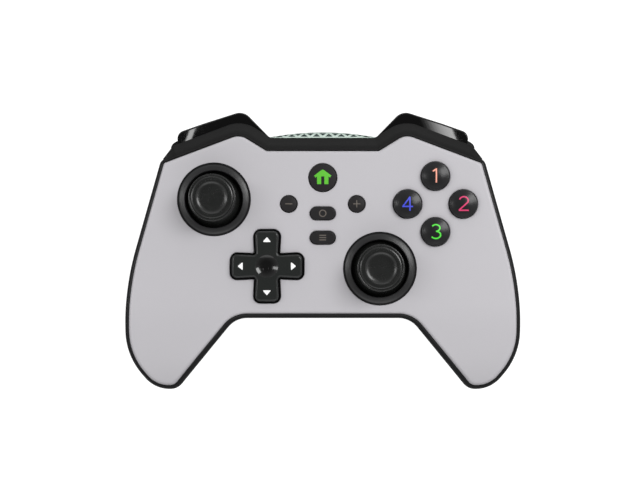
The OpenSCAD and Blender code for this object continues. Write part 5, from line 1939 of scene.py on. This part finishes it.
@dataclass
class FrontControls:
    """All buttons of the face except the cross and the sticks, and the membranes under them."""

    layout: Layout

    def _action(self) -> list[RoundButton]:
        """The four action buttons, with a number each.

        Returns:
            The buttons.
        """
        kinds = (("right", 0, Numeral.TWO, Ink.RED), ("top", 1, Numeral.ONE, Ink.SALMON),
                 ("left", 2, Numeral.FOUR, Ink.BLUE), ("bottom", 3, Numeral.THREE, Ink.GREEN))
        at, r = self.layout.action_at, self.layout.action_r
        return [RoundButton(f"action_button_{word}", at(turn), r, rise=2.6, crown=0.9,
                            marks=number.strokes(), ink=ink)
                for word, turn, number, ink in kinds]

    def _signs(self) -> list[RoundButton]:
        """The minus and plus buttons.

        Returns:
            The buttons.
        """
        bar = line((-1.4, 0), (1.4, 0))
        upright = line((0, -1.4), (0, 1.4))
        x, y = self.layout.sign
        kinds = (("minus_button", -x, [bar]), ("plus_button", x, [bar, upright]))
        return [RoundButton(name, (at, y), self.layout.sign_r, rise=1.0, crown=0.3, marks=marks, ink=Ink.GREY,
                            stroke=0.34, finish=MATTE_BUTTON) for name, at, marks in kinds]

    def _home(self) -> RoundButton:
        """The home button: roof, walls and lintel of a plain house, drawn in strokes.

        Returns:
            The button.
        """
        roof = [line((-3.1, 0.35), (0.15, 2.75)), line((3.1, 0.35), (-0.15, 2.75)),
                line((-1.6, 0.9), (1.6, 0.9)), line((-0.9, 1.55), (0.9, 1.55))]
        walls = [line((x, -2.6), (x, 0.9)) for x in (-1.75, -1.1, 1.1, 1.75)]
        return RoundButton("home_button", self.layout.home, self.layout.home_r, rise=1.0, crown=0.35,
                           marks=roof + walls, ink=Ink.GLOW_GREEN, stroke=0.95, finish=MATTE_BUTTON)

    def _oblongs(self) -> list[OblongButton]:
        """The two oblong buttons, with a ring and with three bars.

        Returns:
            The buttons.
        """
        high, low = self.layout.oblong_y
        ring = [arc((0, 0), (1.25, 1.25), 0, 360, 48)]
        bars = [line((-1.3, y), (1.3, y)) for y in (-0.9, 0, 0.9)]
        return [OblongButton(self.layout, "upper_oblong_button", high, ring),
                OblongButton(self.layout, "lower_oblong_button", low, bars)]

    def make(self) -> None:
        """Builds and dresses every button and the membranes under them."""
        action, small = self._action(), [*self._signs(), self._home()]
        oblongs = self._oblongs()
        for button in (*action, *small, *oblongs):
            button.make()
        places = {b.name: b.centre for b in small} | {b.name: (0.0, b.y) for b in oblongs}
        Membrane("action_membrane", {b.name: b.centre for b in action},
                 pad_r=5.0, dome_r=4.2, travel=1.4).make()
        Membrane("centre_membrane", places, pad_r=4.05, dome_r=3.25, travel=0.7).make()


@dataclass
class Membrane:
    """A rubber membrane on the board: one sheet, and a hollow dome that buckles under each button."""

    name: str
    places: dict[str, Point]
    pad_r: float
    dome_r: float
    travel: float
    board_z: float = 26.0
    sheet: float = 1.0
    wall: float = 0.95
    key_r: float = 2.6
    key_low: float = 3.2
    key_top: float = 4.6
    fit: float = 0.05

    def build(self) -> bpy.types.Object:
        """Joins a pad for each dome and a strap from each to the middle, and cuts out the domes.

        Returns:
            The closed sheet.
        """
        spots = np.array(list(self.places.values()))
        middle = (spots.max(axis=0) + spots.min(axis=0)) / 2
        low, high = self.board_z, self.board_z + self.sheet
        sheet = prism_skin(circle(tuple(middle), self.pad_r * 0.7), low, high).piece(f"{self.name}_sheet")
        for spot in spots:
            way = spot - middle
            side = np.array([-way[1], way[0]]) * self.pad_r * 0.7 / np.linalg.norm(way)
            strap = np.stack([middle - side, spot - side, spot + side, middle + side])
            cut(sheet, prism_skin(strap, low, high), Way.JOIN)
            cut(sheet, prism_skin(circle(tuple(spot), self.pad_r), low, high), Way.JOIN)
        for spot in spots:
            cut(sheet, prism_skin(circle(tuple(spot), self.dome_r - self.wall + self.fit), low - 1, high + 1))
        return sheet

    def dome(self, button: str) -> bpy.types.Object:
        """Turns the dome under a button: a thin cone that carries a key.

        Args:
            button: Name of the button.

        Returns:
            The closed dome.
        """
        inner = self.dome_r - self.wall
        profile = np.array([[0, self.key_top], [self.key_r, self.key_top], [self.key_r, self.key_low],
                            [self.dome_r, self.sheet], [self.dome_r, 0], [inner, 0],
                            [inner, self.sheet - 0.1], [self.key_r - 0.7, self.travel], [0, self.travel]])
        skin = revolve_skin(profile + [0, self.board_z], self.places[button], 64)
        return skin.piece(f"{button}_dome", 30.0)

    def make(self) -> None:
        """Builds and dresses the sheet and the domes, and gives each dome its own mesh."""
        rubber = FINISHES["membrane_rubber"]
        dress(self.build(), rubber, "root", "membrane_rubber", self.name)
        for button, (x, y) in self.places.items():
            dome = dress(self.dome(button), rubber, "root", "membrane_rubber")
            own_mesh(dome)


@dataclass
class Studio:
    """Floor, soft light and camera, as in a plain product photograph."""

    stand_at: Place = (0.0, -19.5, 605.0)
    shift: Point = (-0.0043, 0.0938)
    lens: float = 81.18
    sensor: float = 36.0

    def floor(self) -> None:
        """A wide pale floor just under the pad."""
        size = 4000.0
        plan = np.array([[-size, -size], [size, -size], [size, size], [-size, size]])
        obj = Skin(raised(plan, -0.2), [np.array([[0, 1, 2, 3]])]).piece("floor")
        pale = bpy.data.materials.new("pale_floor")
        pale.use_nodes = True
        nodes = Nodes(pale.node_tree)
        seen = nodes.add("ShaderNodeLightPath").outputs["Is Camera Ray"]
        nodes.wire(pale.node_tree.nodes["Principled BSDF"], {
            "Base Color": (0.22, 0.22, 0.22, 1), "Roughness": 0.9, "Specular IOR Level": 0.0,
            "Emission Color": (1, 1, 1, 1), "Emission Strength": seen})
        obj.data.materials.append(pale)

    def area(self, name: str, place: Place, target: Place, size: Point, watts: float,
             turn: float = 0.0) -> None:
        """A rectangular soft light that looks at a point.

        Args:
            name: Name of the light.
            place: Where it stands.
            target: Where it points.
            size: Width and height of its face.
            watts: Its power.
            turn: Turn about its own axis, in degrees.
        """
        light = bpy.data.lights.new(name, "AREA")
        light.shape = "RECTANGLE"
        light.size, light.size_y = size[0] * MM, size[1] * MM
        light.energy = watts
        obj = bpy.data.objects.new(name, light)
        obj.location = Vector(place) * MM
        aim = (Vector(target) - Vector(place)).to_track_quat("-Z", "Y")
        obj.rotation_euler = (aim @ Quaternion((0, 0, 1), math.radians(turn))).to_euler()
        bpy.context.scene.collection.objects.link(obj)

    def catch(self, name: str, middle: Point, size: Point, watts: float, turn: float) -> None:
        """A small card beside the lens, which the flat polished tops show as a sharp highlight.

        Args:
            name: Name of the light.
            middle: Its middle (x, y), level with the lens.
            size: Width and height of its face.
            watts: Its power.
            turn: Turn about the vertical, in degrees.
        """
        x, y = middle
        self.area(name, (x, y, self.stand_at[2]), (x, y, 0.0), size, watts, turn)

    def world(self) -> None:
        """A soft pale room, brightest half way up: dark at the floor's edge and round the camera overhead."""
        world = bpy.data.worlds.new("soft_room")
        world.use_nodes = True
        nodes = Nodes(world.node_tree)
        where = nodes.add("ShaderNodeTexCoord").outputs["Generated"]
        up = nodes.add("ShaderNodeSeparateXYZ", {0: where}).outputs["Z"]
        light = nodes.math("MULTIPLY", nodes.fit(up, 0.05, 0.4, 0.3, 1.0),
                           nodes.fit(up, 0.65, 0.95, 0.75, 0.1))
        seen = nodes.add("ShaderNodeLightPath").outputs["Is Camera Ray"]
        nodes.wire(world.node_tree.nodes["Background"], {
            "Color": (1, 1, 1, 1), "Strength": nodes.math("MAXIMUM", light, seen)})
        bpy.context.scene.world = world

    def camera(self) -> None:
        """The camera looks straight down on the face from its lower edge, with the lens shifted up."""
        data = bpy.data.cameras.new("camera")
        data.lens, data.sensor_width = self.lens, self.sensor
        data.shift_x, data.shift_y = self.shift
        data.clip_start, data.clip_end = 0.01, 50.0
        obj = bpy.data.objects.new("camera", data)
        obj.location = Vector(self.stand_at) * MM
        bpy.context.scene.collection.objects.link(obj)
        bpy.context.scene.camera = obj

    def make(self) -> None:
        """Sets up the floor, the lights, the room and the camera."""
        self.floor()
        self.world()
        self.area("right_box", (390, 240, 585), (0, 0, 20), (260, 330), 2.6)
        self.area("front_fill", (0, -420, 430), (0, -40, 20), (600, 300), 0.6)
        self.area("back_fill", (0, 700, 200), (0, 40, 25), (900, 220), 0.6)
        self.area("left_strip", (-475, 105, 550), (0, 0, 20), (110, 420), 1.05)
        card_w, card_h, card_y, lean = 2.4, 30, 113.5, 22
        for k, level in enumerate((0.03, 0.1, 0.24, 0.4, 0.56, 0.7, 0.82, 0.92, 1.0)):
            self.catch(f"right_card_{k}", (83.0 + card_w * k, card_y),
                       (card_w * math.cos(math.radians(lean)), card_h), 0.0022 * level, lean)
        self.catch("left_card", (-104.0, card_y), (3.8, card_h), 0.0034, -21)
        self.camera()
        bpy.context.scene.view_settings.view_transform = "Standard"


def dress_frame(frame: dict) -> None:
    """Gives every CAD node the finish of its slot in the record, and the trigger pins a black one.

    Args:
        frame: The loaded frame.
    """
    for part in frame["record"]["subparts"]:
        finish = BLACK_STEEL if part["node"].endswith("trigger_pin") else FINISHES[part["material_slot"]]
        finish.put_on(frame["nodes"][part["node"]])


def main() -> None:
    """Loads the frame, builds and dresses every sub-assembly and sets up the studio."""
    logging.basicConfig(level=logging.INFO, format="%(name)s: %(message)s")
    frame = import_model()
    outline, layout = Outline(), Layout()
    dress_frame(frame)
    Faceplate(outline, layout).make()
    RearBody(outline).make()
    ShoulderStrip(outline).make()
    LightPanel().make()
    for side in Side:
        Bumper(outline, side).make()
        Trigger(outline, side).make()
        Thumbstick(layout, side).make()
    DirectionCross(layout).make()
    FrontControls(layout).make()
    Studio().make()


if __name__ == "__main__":
    main()
